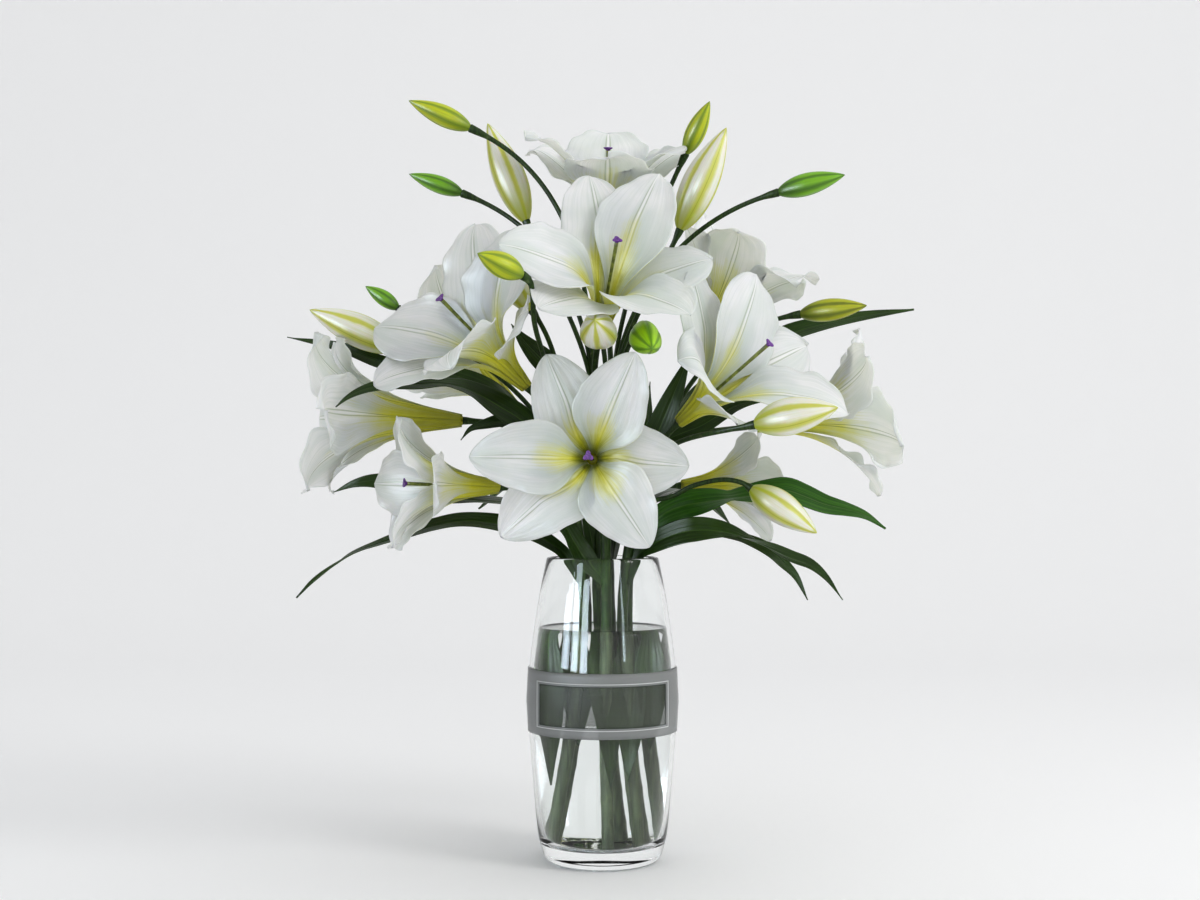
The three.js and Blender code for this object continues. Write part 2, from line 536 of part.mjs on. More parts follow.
// A closed bud: a spindle with three ribs, thickest below its middle, and a pointed tip.
function makeBud(bud) {
  const base = vector(bud.base);
  const tip = vector(bud.tip);
  const length = tip.distanceTo(base);
  const { axis, up, side } = bloomFrame({ base: bud.base, face: tip.clone().sub(base).toArray() });
  const rings = BUD_ROWS.map((s) => {
    const radius = bud.radius * (0.14 * (1 - s) + 0.86 * Math.sin(Math.PI * s ** 0.85) ** 0.8);
    return Array.from({ length: BUD_SIDES + 1 }, (_, i) => {
      const angle = (2 * Math.PI * (i % BUD_SIDES)) / BUD_SIDES;
      const ribbed = radius * (1 + BUD_RIB * Math.cos(3 * angle));
      return base.clone().addScaledVector(axis, s * length)
        .addScaledVector(up, ribbed * Math.cos(angle)).addScaledVector(side, ribbed * Math.sin(angle));
    });
  });
  const triangles = [];
  for (let i = 0; i < BUD_SIDES; i += 1) {
    triangles.push([base, rings[0][i + 1], rings[0][i]], [tip, rings.at(-1)[i], rings.at(-1)[i + 1]]);
    for (let row = 0; row < rings.length - 1; row += 1) {
      const [low, high] = [rings[row], rings[row + 1]];
      triangles.push(...quad(low[i], low[i + 1], high[i + 1], high[i]));
    }
  }
  return piece(bud.name, solidFrom(triangles), bud.tint);
}

// ---------------------------------------------------------------- stems and leaves

function shootCurve(stem) {
  const lift = FLOOR_OF_VASE + FOOT_LIFT;
  const points = stem.shoot.map(([x, y, z], i) => new THREE.Vector3(x, y, i === 0 ? lift : z));
  return new THREE.CatmullRomCurve3(points, false, "centripetal");
}

// A flower stalk: it leaves the shoot upwards and comes in along the bloom's or the bud's axis,
// or it runs through points of its own.
function stalk(shoot, share, end, direction, via) {
  const start = shoot.getPointAt(share);
  if (via) {
    const points = [start, ...via.map(vector), end];
    const path = new THREE.CatmullRomCurve3(points, false, "centripetal");
    return tube(path, STALK_RADIUS, STALK_SIDES, STALK_STEPS + 1);
  }
  const span = start.distanceTo(end);
  const rise = start.clone().addScaledVector(shoot.getTangentAt(share), STALK_RISE * span);
  const arrival = end.clone().addScaledVector(direction, -STALK_ARRIVAL * span);
  const path = new THREE.CubicBezierCurve3(start, rise, arrival, end);
  return tube(path, STALK_RADIUS, STALK_SIDES, STALK_STEPS);
}

// The value at a share s of a row of values at equal steps, read straight between them.
function between(values, s) {
  const at = s * (values.length - 1);
  const low = Math.min(Math.floor(at), values.length - 2);
  return values[low] + (values[low + 1] - values[low]) * (at - low);
}

// A lance-shaped leaf along its midrib, folded a little into a V and rolled about the midrib.
function leaf({ midrib, width, roll, fold }) {
  const curve = new THREE.CatmullRomCurve3(midrib.map(vector), false, "centripetal");
  const rowAt = (s) => {
    const centre = curve.getPointAt(s);
    const along = curve.getTangentAt(s);
    const angle = THREE.MathUtils.degToRad(between(roll, s));
    const side = new THREE.Vector3().crossVectors(along, vector([0, 0, 1])).normalize();
    side.applyAxisAngle(along, angle);
    const lift = new THREE.Vector3().crossVectors(side, along);
    const reach = width * (0.5 + 0.5 * ease(s / 0.35)) * (1 - Math.max((s - 0.35) / 0.65, 0) ** 1.9);
    return [-1, 0, 1].map((t) => centre.clone().addScaledVector(side, t * reach)
      .addScaledVector(lift, Math.abs(t) * fold * reach));
  };
  const count = midrib.length > LONG_MIDRIB ? 2 * LEAF_ROWS : LEAF_ROWS;
  const rows = Array.from({ length: count + 1 }, (_, i) => rowAt(i / count));
  rows[count].fill(curve.getPointAt(1));
  const faces = thicken(rows, LEAF_THICKNESS);
  const [front, back] = [faces.front[0], faces.back[0]];
  const foot = [0, 1].flatMap((j) => quad(back[j], back[j + 1], front[j + 1], front[j]));
  return solidFrom([...bladeTriangles(faces, 0), ...foot]);
}

function makeStem(stem) {
  const shoot = shootCurve(stem);
  const parts = [tube(shoot, STEM_RADIUS, STEM_SIDES, STEM_STEPS)];
  for (const [name, share] of Object.entries(stem.blooms)) {
    const bloom = BLOOMS.find((entry) => entry.name === name);
    const end = onAxis(bloom, -FLOOR_THICKNESS - CLEARANCE);
    parts.push(stalk(shoot, share, end, bloomFrame(bloom).axis, bloom.via));
  }
  for (const [name, share] of Object.entries(stem.buds)) {
    const bud = BUDS.find((entry) => entry.name === name);
    const axis = vector(bud.tip).sub(vector(bud.base)).normalize();
    const end = vector(bud.base).addScaledVector(axis, -CLEARANCE);
    parts.push(stalk(shoot, share, end, axis, bud.via));
  }
  return join([...parts, ...stem.leaves.map(leaf)]);
}

// ---------------------------------------------------------------- vase, band and water

// Radius of a profile, a list of radius and height pairs, at a height.
function radiusAt(profile, height) {
  const sorted = [...profile].sort((a, b) => a[1] - b[1]);
  const i = sorted.findIndex(([, level]) => level >= height);
  const [[lowRadius, low], [highRadius, high]] = [sorted[i - 1], sorted[i]];
  return lowRadius + ((highRadius - lowRadius) * (height - low)) / (high - low);
}

function makeBand() {
  const levels = [BAND_LOW, 132, BAND_HIGH];
  const skin = (offset) => levels.map((z) => [radiusAt(VASE_OUTSIDE, z) + offset, z]);
  const profile = [...skin(CLEARANCE), ...skin(CLEARANCE + BAND_THICKNESS).reverse()];
  return turned([...profile, profile[0]]);
}

// The water fills the vase to its level, with a plain hole round each stem.
function makeWater(shoots) {
  const wall = VASE_INSIDE.filter(([radius, z]) => radius > 0 && z < WATER_LEVEL).reverse();
  const inset = wall.map(([radius, z]) => [radius - CLEARANCE, z + CLEARANCE]);
  const top = radiusAt(VASE_INSIDE, WATER_LEVEL) - CLEARANCE;
  const low = FLOOR_OF_VASE + CLEARANCE;
  const body = turned([[0, low], ...inset, [top, WATER_LEVEL], [0, WATER_LEVEL]]);
  const holes = shoots.map((shoot) => {
    const foot = shoot.getPointAt(0).addScaledVector(shoot.getTangentAt(0), -10);
    const longer = new THREE.CatmullRomCurve3([foot, ...shoot.points], false, "centripetal");
    return tube(longer, STEM_RADIUS + HOLE_CLEARANCE, STEM_SIDES, STEM_STEPS);
  });
  return holes.reduce((rest, hole) => rest.subtract(hole), body);
}

// ---------------------------------------------------------------- the whole vase of lilies

const lilies = new THREE.Group();
const shoots = STEMS.map(shootCurve);
lilies.add(piece("vase", turned([...VASE_OUTSIDE, ...VASE_INSIDE]), "glass"));
lilies.add(piece("band", makeBand(), "frosted"));
lilies.add(piece("water", makeWater(shoots), "water"));
for (const stem of STEMS) lilies.add(piece(stem.name, makeStem(stem), "leaf"));
for (const bloom of BLOOMS) lilies.add(...makeBloom(bloom));
for (const bud of BUDS) lilies.add(makeBud(bud));

export default lilies;
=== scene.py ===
# White lilies in a clear glass vase: the looks of the vase, its frosted band, the water, the leafy
# stems, the open blooms with their styles and stigmas, and the closed buds.  +Z is up and -Y is
# the front.  Shapes are worked out in millimetres, and put_mesh turns them to metres.

import math

import bpy
import numpy as np
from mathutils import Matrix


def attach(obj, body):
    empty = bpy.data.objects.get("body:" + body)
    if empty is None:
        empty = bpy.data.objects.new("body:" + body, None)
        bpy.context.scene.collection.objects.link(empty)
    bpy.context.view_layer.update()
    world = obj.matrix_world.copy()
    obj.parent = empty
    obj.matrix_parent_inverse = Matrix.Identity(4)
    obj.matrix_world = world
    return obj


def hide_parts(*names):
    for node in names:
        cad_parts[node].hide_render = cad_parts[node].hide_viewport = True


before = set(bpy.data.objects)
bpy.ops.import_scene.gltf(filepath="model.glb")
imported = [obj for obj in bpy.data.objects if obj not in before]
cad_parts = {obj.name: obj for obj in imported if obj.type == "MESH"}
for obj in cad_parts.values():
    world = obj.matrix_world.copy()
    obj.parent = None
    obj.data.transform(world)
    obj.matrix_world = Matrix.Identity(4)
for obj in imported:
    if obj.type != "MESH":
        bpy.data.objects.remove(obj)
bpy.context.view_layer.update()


# ------------------------------------------------------------------ camera
# A 48 mm lens on a 36 mm sensor, 1.34 m in front of the vase and 0.3 m above the surface that it
# stands on, tilted a little upwards.

scene = bpy.context.scene
camera_data = bpy.data.cameras.new("camera")
camera_data.lens = 48
camera_data.sensor_width = 36
camera = bpy.data.objects.new("camera", camera_data)
camera.location = (-0.0021, -1.338, 0.295)
camera.rotation_euler = (math.radians(90 + 1.9), 0, 0)
scene.collection.objects.link(camera)
scene.camera = camera
scene.view_settings.view_transform = "Standard"
scene.view_settings.gamma = 0.88
scene.view_settings.exposure = 0.05


# ------------------------------------------------------------------ floor, backdrop and light
# A seamless sweep of pale grey paper: flat floor, round bend, upright back.  A large soft box
# stands at the right in front, and the room is brighter on that side.  Upright panes behind the
# camera show only as reflections.

MM = 0.001
PAPER_HALF_WIDTH, PAPER_FRONT, PAPER_TOP = 5000, -4000, 4000
PAPER_DROP = 0.4  # below the foot of the vase
BEND_START, BEND_RADIUS = 1600, 900


def feed(receiver, **sockets):
    """Gives sockets of a shader node a link, a number or a colour.  A socket's name has underscores
    for spaces, and in0, in1 and so on are the node's sockets in order."""
    for key, value in sockets.items():
        socket = receiver.inputs[int(key[2:]) if key[:2] == "in" else key.replace("_", " ")]
        if isinstance(value, bpy.types.NodeSocket):
            receiver.id_data.links.new(value, socket)
        elif socket.type == "RGBA":
            socket.default_value = (*value, 1)
        else:
            socket.default_value = value


def node(tree, kind, settings=(), **sockets):
    """The outputs of a new shader node with its settings and its sockets fed."""
    made = tree.nodes.new(kind)
    for key, value in dict(settings).items():
        setattr(made, key, value)
    feed(made, **sockets)
    return made.outputs


def new_material(name, **sockets):
    """A node material and its Principled shader, whose sockets hold the values given."""
    material = bpy.data.materials.new(name)
    material.use_nodes = True
    shader = material.node_tree.nodes["Principled BSDF"]
    feed(shader, **sockets)
    return material, shader


def put_mesh(name, vertices, faces, material, uv=None):
    """A smooth mesh object at the origin, from vertices in millimetres.  The faces are arrays of
    vertex numbers, and uv, if given, has one pair of numbers for each vertex."""
    mesh = bpy.data.meshes.new(name)
    corners = [face for group in faces for face in group.tolist()]
    mesh.from_pydata((np.asarray(vertices, float) * MM).tolist(), [], corners)
    mesh.materials.append(material)
    mesh.polygons.foreach_set("use_smooth", [True] * len(mesh.polygons))
    if uv is not None:
        corner = np.empty(len(mesh.loops), np.int32)
        mesh.loops.foreach_get("vertex_index", corner)
        layer = mesh.uv_layers.new(name="surface")
        layer.data.foreach_set("uv", np.asarray(uv, float)[corner].ravel())
    mesh.update()
    piece = bpy.data.objects.new(name, mesh)
    scene.collection.objects.link(piece)
    return piece


def paper_sheet():
    """The paper's points and faces: floor from the front to the back, a quarter circle, then the
    upright, carried from the left edge to the right one."""
    turn = np.linspace(0, math.pi / 2, 24)
    bend = [BEND_START + BEND_RADIUS * np.sin(turn), BEND_RADIUS - BEND_RADIUS * np.cos(turn)]
    profile = np.vstack(
        [[[PAPER_FRONT, 0]], np.stack(bend, 1), [[BEND_START + BEND_RADIUS, PAPER_TOP]]]
    ) - [0, PAPER_DROP]
    rows = len(profile)
    x = np.repeat([-PAPER_HALF_WIDTH, PAPER_HALF_WIDTH], rows)
    i = np.arange(rows - 1)
    faces = np.stack([i, i + rows, i + rows + 1, i + 1], 1)
    return np.column_stack([x, np.tile(profile, (2, 1))]), [faces]


paper, _ = new_material("backdrop_paper", Base_Color=(0.925, 0.925, 0.925), Roughness=0.9)
backdrop = put_mesh("backdrop", *paper_sheet(), paper)


def soft_box(name, place, target, size, watts, colour):
    """A rectangular area light at a place, turned to face a target."""
    data = bpy.data.lights.new(name, "AREA")
    data.shape = "RECTANGLE"
    data.size, data.size_y = size
    data.energy = watts
    data.color = colour
    light = bpy.data.objects.new(name, data)
    away = np.subtract(place, target)
    light.location = place
    light.rotation_euler = (
        math.atan2(math.hypot(away[0], away[1]), away[2]), 0, math.atan2(away[0], -away[1])
    )
    scene.collection.objects.link(light)
    return light


soft_box("key_box", (1.8, -1.1, 1.6), (0, 0, 0.35), (0.7, 0.7), 14, (1.0, 0.99, 0.97))
for name, place, size, watts in (
    ("window_pane_left", (-2.02, -1.05, 0.8), (0.46, 1.0), 34),
    ("window_pane_middle", (-1.66, -1.58, 0.8), (0.46, 1.0), 34),
    ("window_pane_right", (-1.16, -1.98, 0.8), (0.46, 1.0), 34),
    ("window_pane_far", (1.35, -1.9, 0.75), (0.12, 0.6), 3),
):
    pane = soft_box(name, place, (0, 0, 0.25), size, watts, (0.78, 0.89, 1.0))
    pane.visible_diffuse = False
world = bpy.data.worlds.new("studio")
world.use_nodes = True
room = world.node_tree
heading = node(room, "ShaderNodeSeparateXYZ", in0=node(room, "ShaderNodeTexCoord")["Generated"])
from_the_right = node(
    room, "ShaderNodeMapRange", Value=heading["X"], From_Min=-1, To_Min=0.5, To_Max=1.14
)[0]
feed(room.nodes["Background"], Color=(0.985, 0.99, 1.0), Strength=from_the_right)
scene.world = world


# ------------------------------------------------------------------ vase
# Thick clear blown glass, a barrel that narrows to the mouth, with a heavy flat bottom and a
# fire-polished lip.

OUTSIDE = [
    [43, 0], [46.5, 1.2], [49, 5], [51.3, 12], [53.5, 22], [57, 57], [60.5, 100],
    [62.3, 132], [61, 159], [57, 191], [52.5, 220], [47.3, 246],
]
LIP = [[46.6, 249], [45.9, 249.9], [45, 250], [44.2, 249.4], [43.8, 248]]
INSIDE = [
    [49.3, 220], [53.5, 191], [57.5, 159], [58.8, 132], [57, 100], [53.5, 57],
    [49.8, 27], [47, 18.5], [42, 14.6], [34, 14],
]
VASE_SIDES = 144
CURVE_STEPS = 8  # between two traced points of a profile


def catmull(points, steps):
    """A smooth line through points: between two neighbours a cubic that leaves along the chord
    of the points on either side, with each span's length under a square root as its weight."""
    points = np.asarray(points, float)
    before = np.vstack([2 * points[0] - points[1], points[:-1]])
    after = np.vstack([points[1:], 2 * points[-1] - points[-2]])
    p0, p1, p2, p3 = before[:-1], points[:-1], points[1:], after[1:]
    d0, d1, d2 = (
        np.maximum(np.linalg.norm(b - a, axis=1, keepdims=True) ** 0.5, 1e-6)
        for a, b in ((p0, p1), (p1, p2), (p2, p3))
    )
    leave = ((p1 - p0) / d0 - (p2 - p0) / (d0 + d1) + (p2 - p1) / d1) * d1
    arrive = ((p2 - p1) / d1 - (p3 - p1) / (d1 + d2) + (p3 - p2) / d2) * d1
    t = (np.arange(steps) / steps)[:, None, None]
    line = (
        p1 + leave * t + (3 * (p2 - p1) - 2 * leave - arrive) * t**2
        + (2 * (p1 - p2) + leave + arrive) * t**3
    )
    return np.vstack([line.transpose(1, 0, 2).reshape(-1, points.shape[1]), points[-1:]])


def around(sides, seam=0):
    """Angles at even steps once round, as a row, with the first one again at a seam."""
    return 2 * math.pi * np.arange(sides + seam)[None, :] / sides


def ring_faces(rings, sides, seam=0):
    """Outward quads between neighbouring rings of points.  With a seam of one, every ring has one
    point more, which lies on its first."""
    width = sides + seam
    a = np.arange(rings - 1)[:, None] * width
    i = np.arange(sides)
    j = (i + 1) % width
    return np.stack([a + i, a + j, a + width + j, a + width + i], -1).reshape(-1, 4)


def closed_faces(rings, sides, seam=0):
    """Quads between rings, then triangles from the first and the last ring to two poles, which
    are the points after the rings."""
    width = sides + seam
    i = np.arange(sides)
    j = (i + 1) % width
    foot, top = np.full(sides, rings * width), (rings - 1) * width
    return [
        ring_faces(rings, sides, seam),
        np.stack([foot, j, i], 1),
        np.stack([foot + 1, top + i, top + j], 1),
    ]


def revolved(profile, sides):
    """Rings about Z: each (radius, height) pair of a profile runs round a circle."""
    radius, height = np.asarray(profile, float).T[..., None]
    x, y = radius * np.cos(around(sides)), radius * np.sin(around(sides))
    return np.stack([x, y, height + 0 * x], -1)


def turned(profile, sides):
    """A solid of revolution about Z, closed on the axis at both ends of its profile."""
    ends = [[0, 0, profile[0][1]], [0, 0, profile[-1][1]]]
    points = np.vstack([revolved(profile, sides).reshape(-1, 3), ends])
    return points, closed_faces(len(profile), sides)


glass, _ = new_material(
    "clear_glass", Base_Color=(0.985, 0.995, 0.992), Roughness=0, IOR=1.3, Transmission_Weight=1
)
outer_wall = np.vstack([OUTSIDE[:2], catmull(OUTSIDE[2:], CURVE_STEPS)])
inner_wall = catmull(INSIDE, CURVE_STEPS)
vase = put_mesh(
    "vase_glass", *turned(np.vstack([outer_wall, LIP, inner_wall]), VASE_SIDES), glass
)
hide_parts("vase")
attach(vase, "root")


# ------------------------------------------------------------------ frosted band
# A satin grey see-through band round the widest part of the glass.  Its front has a plain printed
# frame of two thin lines, the outer one pale and the inner one dark, round a clearer field.

BAND_FOOT, BAND_TOP, BAND_ROWS = 107, 159, 14
BAND_SKIN = (0.3, 1.1)  # inner and outer face, beyond the glass
FRAME_HALF_WIDTH, FRAME_FOOT, FRAME_TOP = 53.5, 113.5, 151  # of the outer line, along X and Z
FIELD_HALF_WIDTH, FIELD_MIDDLE, FIELD_HALF_HEIGHT = 0.0512, 0.13225, 0.0165  # in metres
INK = (0.02, 0.14)  # inner and outer face, beyond the band


def wall(height, profile):
    """Radius of a profile at a height, read straight between its points."""
    pairs = np.asarray(profile, float)
    order = np.argsort(pairs[:, 1])
    return np.interp(height, pairs[order, 1], pairs[order, 0])


def ring_solid(inner, outer, sides):
    """A closed ring: the (radius, height) pairs of its outer face upwards and of its inner face
    downwards run round a circle, and the last ring joins the first."""
    points = revolved(np.vstack([outer, inner[::-1]]), sides)
    faces = ring_faces(len(points) + 1, sides) % (len(points) * sides)
    return points.reshape(-1, 3), [faces]


def maths(operation, *values):
    """One step of arithmetic in a material, on links and numbers."""
    tree = next(v.id_data for v in values if isinstance(v, bpy.types.NodeSocket))
    sockets = {f"in{n}": value for n, value in enumerate(values)}
    return node(tree, "ShaderNodeMath", {"operation": operation}, **sockets)[0]


def times(first, second):
    """A product in a material."""
    return maths("MULTIPLY", first, second)


def scaled(value, by, plus):
    """A value times one number and plus another, in a material."""
    return maths("MULTIPLY_ADD", value, by, plus)


def blend(factor, first, second):
    """A colour between two others."""
    return node(
        factor.id_data, "ShaderNodeMix", {"data_type": "RGBA"}, in0=factor, in6=first, in7=second
    )[2]


def band_material():
    """Grey film, thinner behind, with fine grain and a clearer field inside the printed frame."""
    material, shader = new_material("frosted_band", Roughness=0.5)
    tree = material.node_tree
    x, y, z = node(tree, "ShaderNodeSeparateXYZ", in0=node(tree, "ShaderNodeTexCoord")["Object"])
    front = maths("LESS_THAN", y, 0.0)
    field = times(maths("LESS_THAN", maths("ABSOLUTE", x), FIELD_HALF_WIDTH), front)
    up = maths("ABSOLUTE", maths("SUBTRACT", z, FIELD_MIDDLE))
    field = times(field, maths("LESS_THAN", up, FIELD_HALF_HEIGHT))
    grain = node(tree, "ShaderNodeTexNoise", Scale=900.0, Detail=2.0)[0]
    haze = times(scaled(grain, 0.06, 0.66), scaled(front, 0.55, 0.45))
    colour = blend(field, (0.31, 0.32, 0.32), (0.12, 0.135, 0.11))
    feed(shader, Base_Color=colour, Alpha=scaled(field, -0.42, haze))
    return material


levels = np.linspace(BAND_FOOT, BAND_TOP, BAND_ROWS)
inner_face, outer_face = (
    np.stack([wall(levels, OUTSIDE) + skin, levels], 1) for skin in BAND_SKIN
)
band = put_mesh("band_frosted", *ring_solid(inner_face, outer_face, VASE_SIDES), band_material())
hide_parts("band")
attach(band, "root")


def slab(first, second):
    """A closed thin solid between two grids of points.  The first grid faces the way of the cross
    product of its two directions and the second the other way, and rims join them all round."""
    rows, columns = first.shape[:2]
    vertices = np.vstack([first.reshape(-1, 3), second.reshape(-1, 3)])
    index = np.arange(rows * columns).reshape(rows, columns)
    back = index + rows * columns
    a, b, c, d = index[:-1, :-1], index[1:, :-1], index[1:, 1:], index[:-1, 1:]
    quads = [np.stack([a, b, c, d], -1), np.stack([d, c, b, a], -1) + rows * columns]
    rims = (
        (index[:-1, 0], back[:-1, 0], back[1:, 0], index[1:, 0]),
        (index[:-1, -1], index[1:, -1], back[1:, -1], back[:-1, -1]),
        (index[0, :-1], index[0, 1:], back[0, 1:], back[0, :-1]),
        (index[-1, :-1], back[-1, :-1], back[-1, 1:], index[-1, 1:]),
    )
    quads += [np.stack(rim, -1) for rim in rims]
    return vertices, [np.vstack([q.reshape(-1, 4) for q in quads])]


def joined(shapes):
    """Several shapes, each points and faces, as one."""
    starts = np.cumsum([0] + [len(points) for points, _ in shapes])
    faces = [group + start for (_, groups), start in zip(shapes, starts) for group in groups]
    return np.vstack([points for points, _ in shapes]), faces


def printed_frame(half_width, foot, top, line):
    """A thin raised frame on the band's front, of four strips that are bent round the vase: x and
    z are even, and y comes from the band's radius at that height."""
    wide = np.linspace(-half_width, half_width, 61)
    tall = np.linspace(foot + line, top - line, 15)
    strips = []
    for x, z in (
        (wide, [foot, foot + line]),
        (wide, [top - line, top]),
        ([-half_width, -half_width + line], tall),
        ([half_width - line, half_width], tall),
    ):
        x, z = np.meshgrid(x, z)
        radius = wall(z, OUTSIDE) + BAND_SKIN[1]
        faces = [np.stack([x, -np.sqrt((radius + lift) ** 2 - x**2), z], -1) for lift in INK]
        strips.append(slab(*faces))
    return joined(strips)


for name, colour, inset, line in (
    ("frame_pale_line", (0.62, 0.64, 0.64), 0, 0.7),
    ("frame_dark_line", (0.045, 0.06, 0.05), 2.3, 0.5),
):
    ink, _ = new_material(name, Base_Color=colour, Roughness=0.8, Specular_IOR_Level=0.0)
    lines = put_mesh(
        name,
        *printed_frame(FRAME_HALF_WIDTH - inset, FRAME_FOOT + inset, FRAME_TOP - inset, line),
        ink,
    )
    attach(lines, "root")


# ------------------------------------------------------------------ water
# Clear water up to three quarters of the vase.  It fills the glass to within a hair of the wall
# and the bottom, and its surface creeps up at the edge.

WATER_LEVEL = 191
WATER_GAP = 0.3  # to the glass

water_glass, _ = new_material(
    "still_water", Base_Color=(0.975, 0.99, 0.985), Roughness=0, IOR=1.333, Transmission_Weight=1
)
wet_wall = inner_wall[::-1]
wet_wall = wet_wall[wet_wall[:, 1] < WATER_LEVEL] - [WATER_GAP, 0]
wet_wall[:, 1] = np.maximum(wet_wall[:, 1], INSIDE[-1][1]) + WATER_GAP
edge = wall(WATER_LEVEL, INSIDE) - WATER_GAP
meniscus = [[edge, WATER_LEVEL + 1.2], [edge - 0.8, WATER_LEVEL + 0.4], [edge - 2.2, WATER_LEVEL]]
surface = [[radius, WATER_LEVEL] for radius in (40, 25, 10)]
water = put_mesh(
    "water_clear", *turned(np.vstack([wet_wall, meniscus, surface]), VASE_SIDES), water_glass
)
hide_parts("water")
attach(water, "root")


# ------------------------------------------------------------------ blooms
# An open lily has six petals in two layers of three, grown together at the throat.  Each is a
# white blade with a doubled midrib, fine lengthwise veins, a waved and ruffled rim and a
# yellow-green base.

THROAT_RADIUS = 4.2
PETAL_ROWS, PETAL_COLUMNS = 60, 33
MAP_EDGE, MAP_HALF = 0.05, 0.45  # where a rim lies in a map, and from there to the midrib
INNER_FACE = 8  # what a map adds there
MIDRIB_STEPS = 240
CURL_FROM = 0.72  # of the way from throat to tip
# The inner layer and the outer one: the share of its length, how many degrees more open, how far
# round the throat a petal reaches where it is free and where it is grown on, where it starts to
# flatten, and how far it lies behind the inner layer at the throat and further out.
LAYERS = (
    dict(short=1, open=0, wrap=1, seam=0.62, flat_from=0.45, behind=(0, 0)),
    dict(short=0.97, open=5, wrap=0.85, seam=0.6, flat_from=0.3, behind=(0.9, 6)),
)
# base is the throat's foot and face the way it looks.  roll, throat, open and curl are in degrees,
# widest and bend in shares of the length, and each list of six changes single petals.
BLOOMS = [
    dict(
        name="front", base=[-8, -95, 329], face=[-0.06, -0.99, 0.02], roll=27,
        length=112, width=29, widest=0.45, throat=14, open=88, curl=8,
        bend=[0.1, 0.62], ruffle=1, waves=1.6, style=0.42,
        lengths=[0.95, 0.86, 0.9, 1.04, 1, 0.98], turns=[-3, 8, -1, 21, 3, 10],
    ),
    dict(
        name="crown", base=[-2, -75, 431], face=[0.15, -0.66, 0.74], roll=38,
        length=140, width=34, widest=0.55, throat=12, open=68, curl=18,
        bend=[0.12, 0.7], ruffle=1.5, waves=1.6, style=0.6,
        lengths=[1.06, 0.86, 0.88, 0.87, 0.94, 1.08], widths=[0.92, 1, 1, 1, 1.05, 0.95],
        turns=[-9, -16, -8, 11, -12, 20], opens=[0, -2, 4, 2, 0, 0], tilts=[0, 0, 0, 0, 12, 0],
    ),
    dict(
        name="top", base=[3, 40, 510], face=[0.02, -0.27, 1], roll=0,
        length=134, width=40, throat=10, open=50, curl=50, bend=[0.15, 0.75],
        ruffle=4, waves=2.2, lengths=[1, 1, 0.93, 1, 1, 1], turns=[0, 4, -4, 0, 4, -4],
        tilts=[0, 0, -12, 0, 12, 0],
    ),
    dict(
        name="left_high", base=[-61, -70, 388], face=[-0.6, -0.52, 0.6], roll=10,
        length=142, width=36, throat=10, open=58, curl=30, bend=[0.15, 0.7],
        ruffle=3, waves=1.6, style=0.72, lengths=[0.93, 0.74, 0.97, 0.97, 0.98, 1.15],
        widths=[1, 0.85, 1, 1, 1, 0.95], turns=[4, 8, 10, 26, 10, 26],
        opens=[0, -10, -4, -4, 0, 3], curls=[0, 20, 45, 0, 0, 0], tilts=[-16, 0, 0, 0, 0, -4],
    ),
    dict(
        name="left_back", base=[-71, 60, 371], face=[-0.72, 0.12, 0.66], roll=50,
        length=155, width=34, throat=10, open=46, curl=25, bend=[0.2, 0.8],
        ruffle=3, waves=1.6, lengths=[1.02, 0.78, 0.82, 0.82, 1, 1], turns=[0, -4, 0, 0, 0, 0],
    ),
    dict(
        name="left_out", base=[-116, -20, 363], face=[-1, -0.1, 0.04], roll=30,
        length=152, width=38, throat=10, open=46, curl=60, bend=[0.3, 0.85],
        ruffle=6, waves=1.6,
    ),
    dict(
        name="left_low", base=[-83, -62, 308], face=[-0.93, -0.3, 0.03], roll=30,
        length=112, width=29, throat=10, open=50, curl=35, bend=[0.25, 0.85],
        ruffle=3, waves=1.6, lengths=[1, 0.85, 1, 1, 1, 1], curls=[0, 50, 0, 0, 0, 0],
    ),
    dict(
        name="right_high", base=[62, -60, 360], face=[0.62, -0.55, 0.54], roll=30,
        length=142, width=35, throat=10, open=57, curl=25, bend=[0.15, 0.7],
        ruffle=2.5, waves=1.6, style=0.72, lengths=[1, 1, 1, 0.65, 0.78, 0.98],
        turns=[0, -12, -16, -2, 5, 16], opens=[0, 0, -2, -14, 0, 0], curls=[0, 0, 15, 40, 80, 0],
        tilts=[-10, 0, 0, 0, 0, 0],
    ),
    dict(
        name="right_back", base=[77, 60, 424], face=[0.5, -0.15, 0.86], roll=30,
        length=138, width=36, throat=10, open=44, curl=50, bend=[0.2, 0.8],
        ruffle=4, waves=2, opens=[0, 0, -5, -5, 0, 0],
    ),
    dict(
        name="right_out", base=[132, 30, 361], face=[1, -0.15, 0.14], roll=0,
        length=146, width=37, throat=10, open=49, curl=50, bend=[0.2, 0.8],
        ruffle=5, waves=1.6, lengths=[0.88, 1, 1, 0.92, 1, 1], opens=[0, 0, -6, 0, -6, 0],
        curls=[0, 0, 0, -25, 0, 0],
    ),
    dict(
        name="right_low", base=[68, 40, 310], face=[0.97, 0.1, 0.05], roll=20,
        length=100, width=28, throat=10, open=44, curl=25, bend=[0.2, 0.8],
        ruffle=2, waves=1.6, lengths=[0.92, 1, 1, 1, 1, 0.88],
    ),
]


def ease(x):
    """Smooth step from 0 to 1."""
    x = np.clip(x, 0, 1)
    return x * x * (3 - 2 * x)


def unit(vector):
    """The vector, or each vector of a grid, at length 1."""
    vector = np.asarray(vector, float)
    return vector / np.maximum(np.linalg.norm(vector, axis=-1, keepdims=True), 1e-12)


def blade_grid(rows, columns):
    """s from 0 to 1 down the rows and t from -1 to 1 across the columns, as two grids."""
    return np.meshgrid(np.linspace(0, 1, rows), np.linspace(-1, 1, columns), indexing="ij")


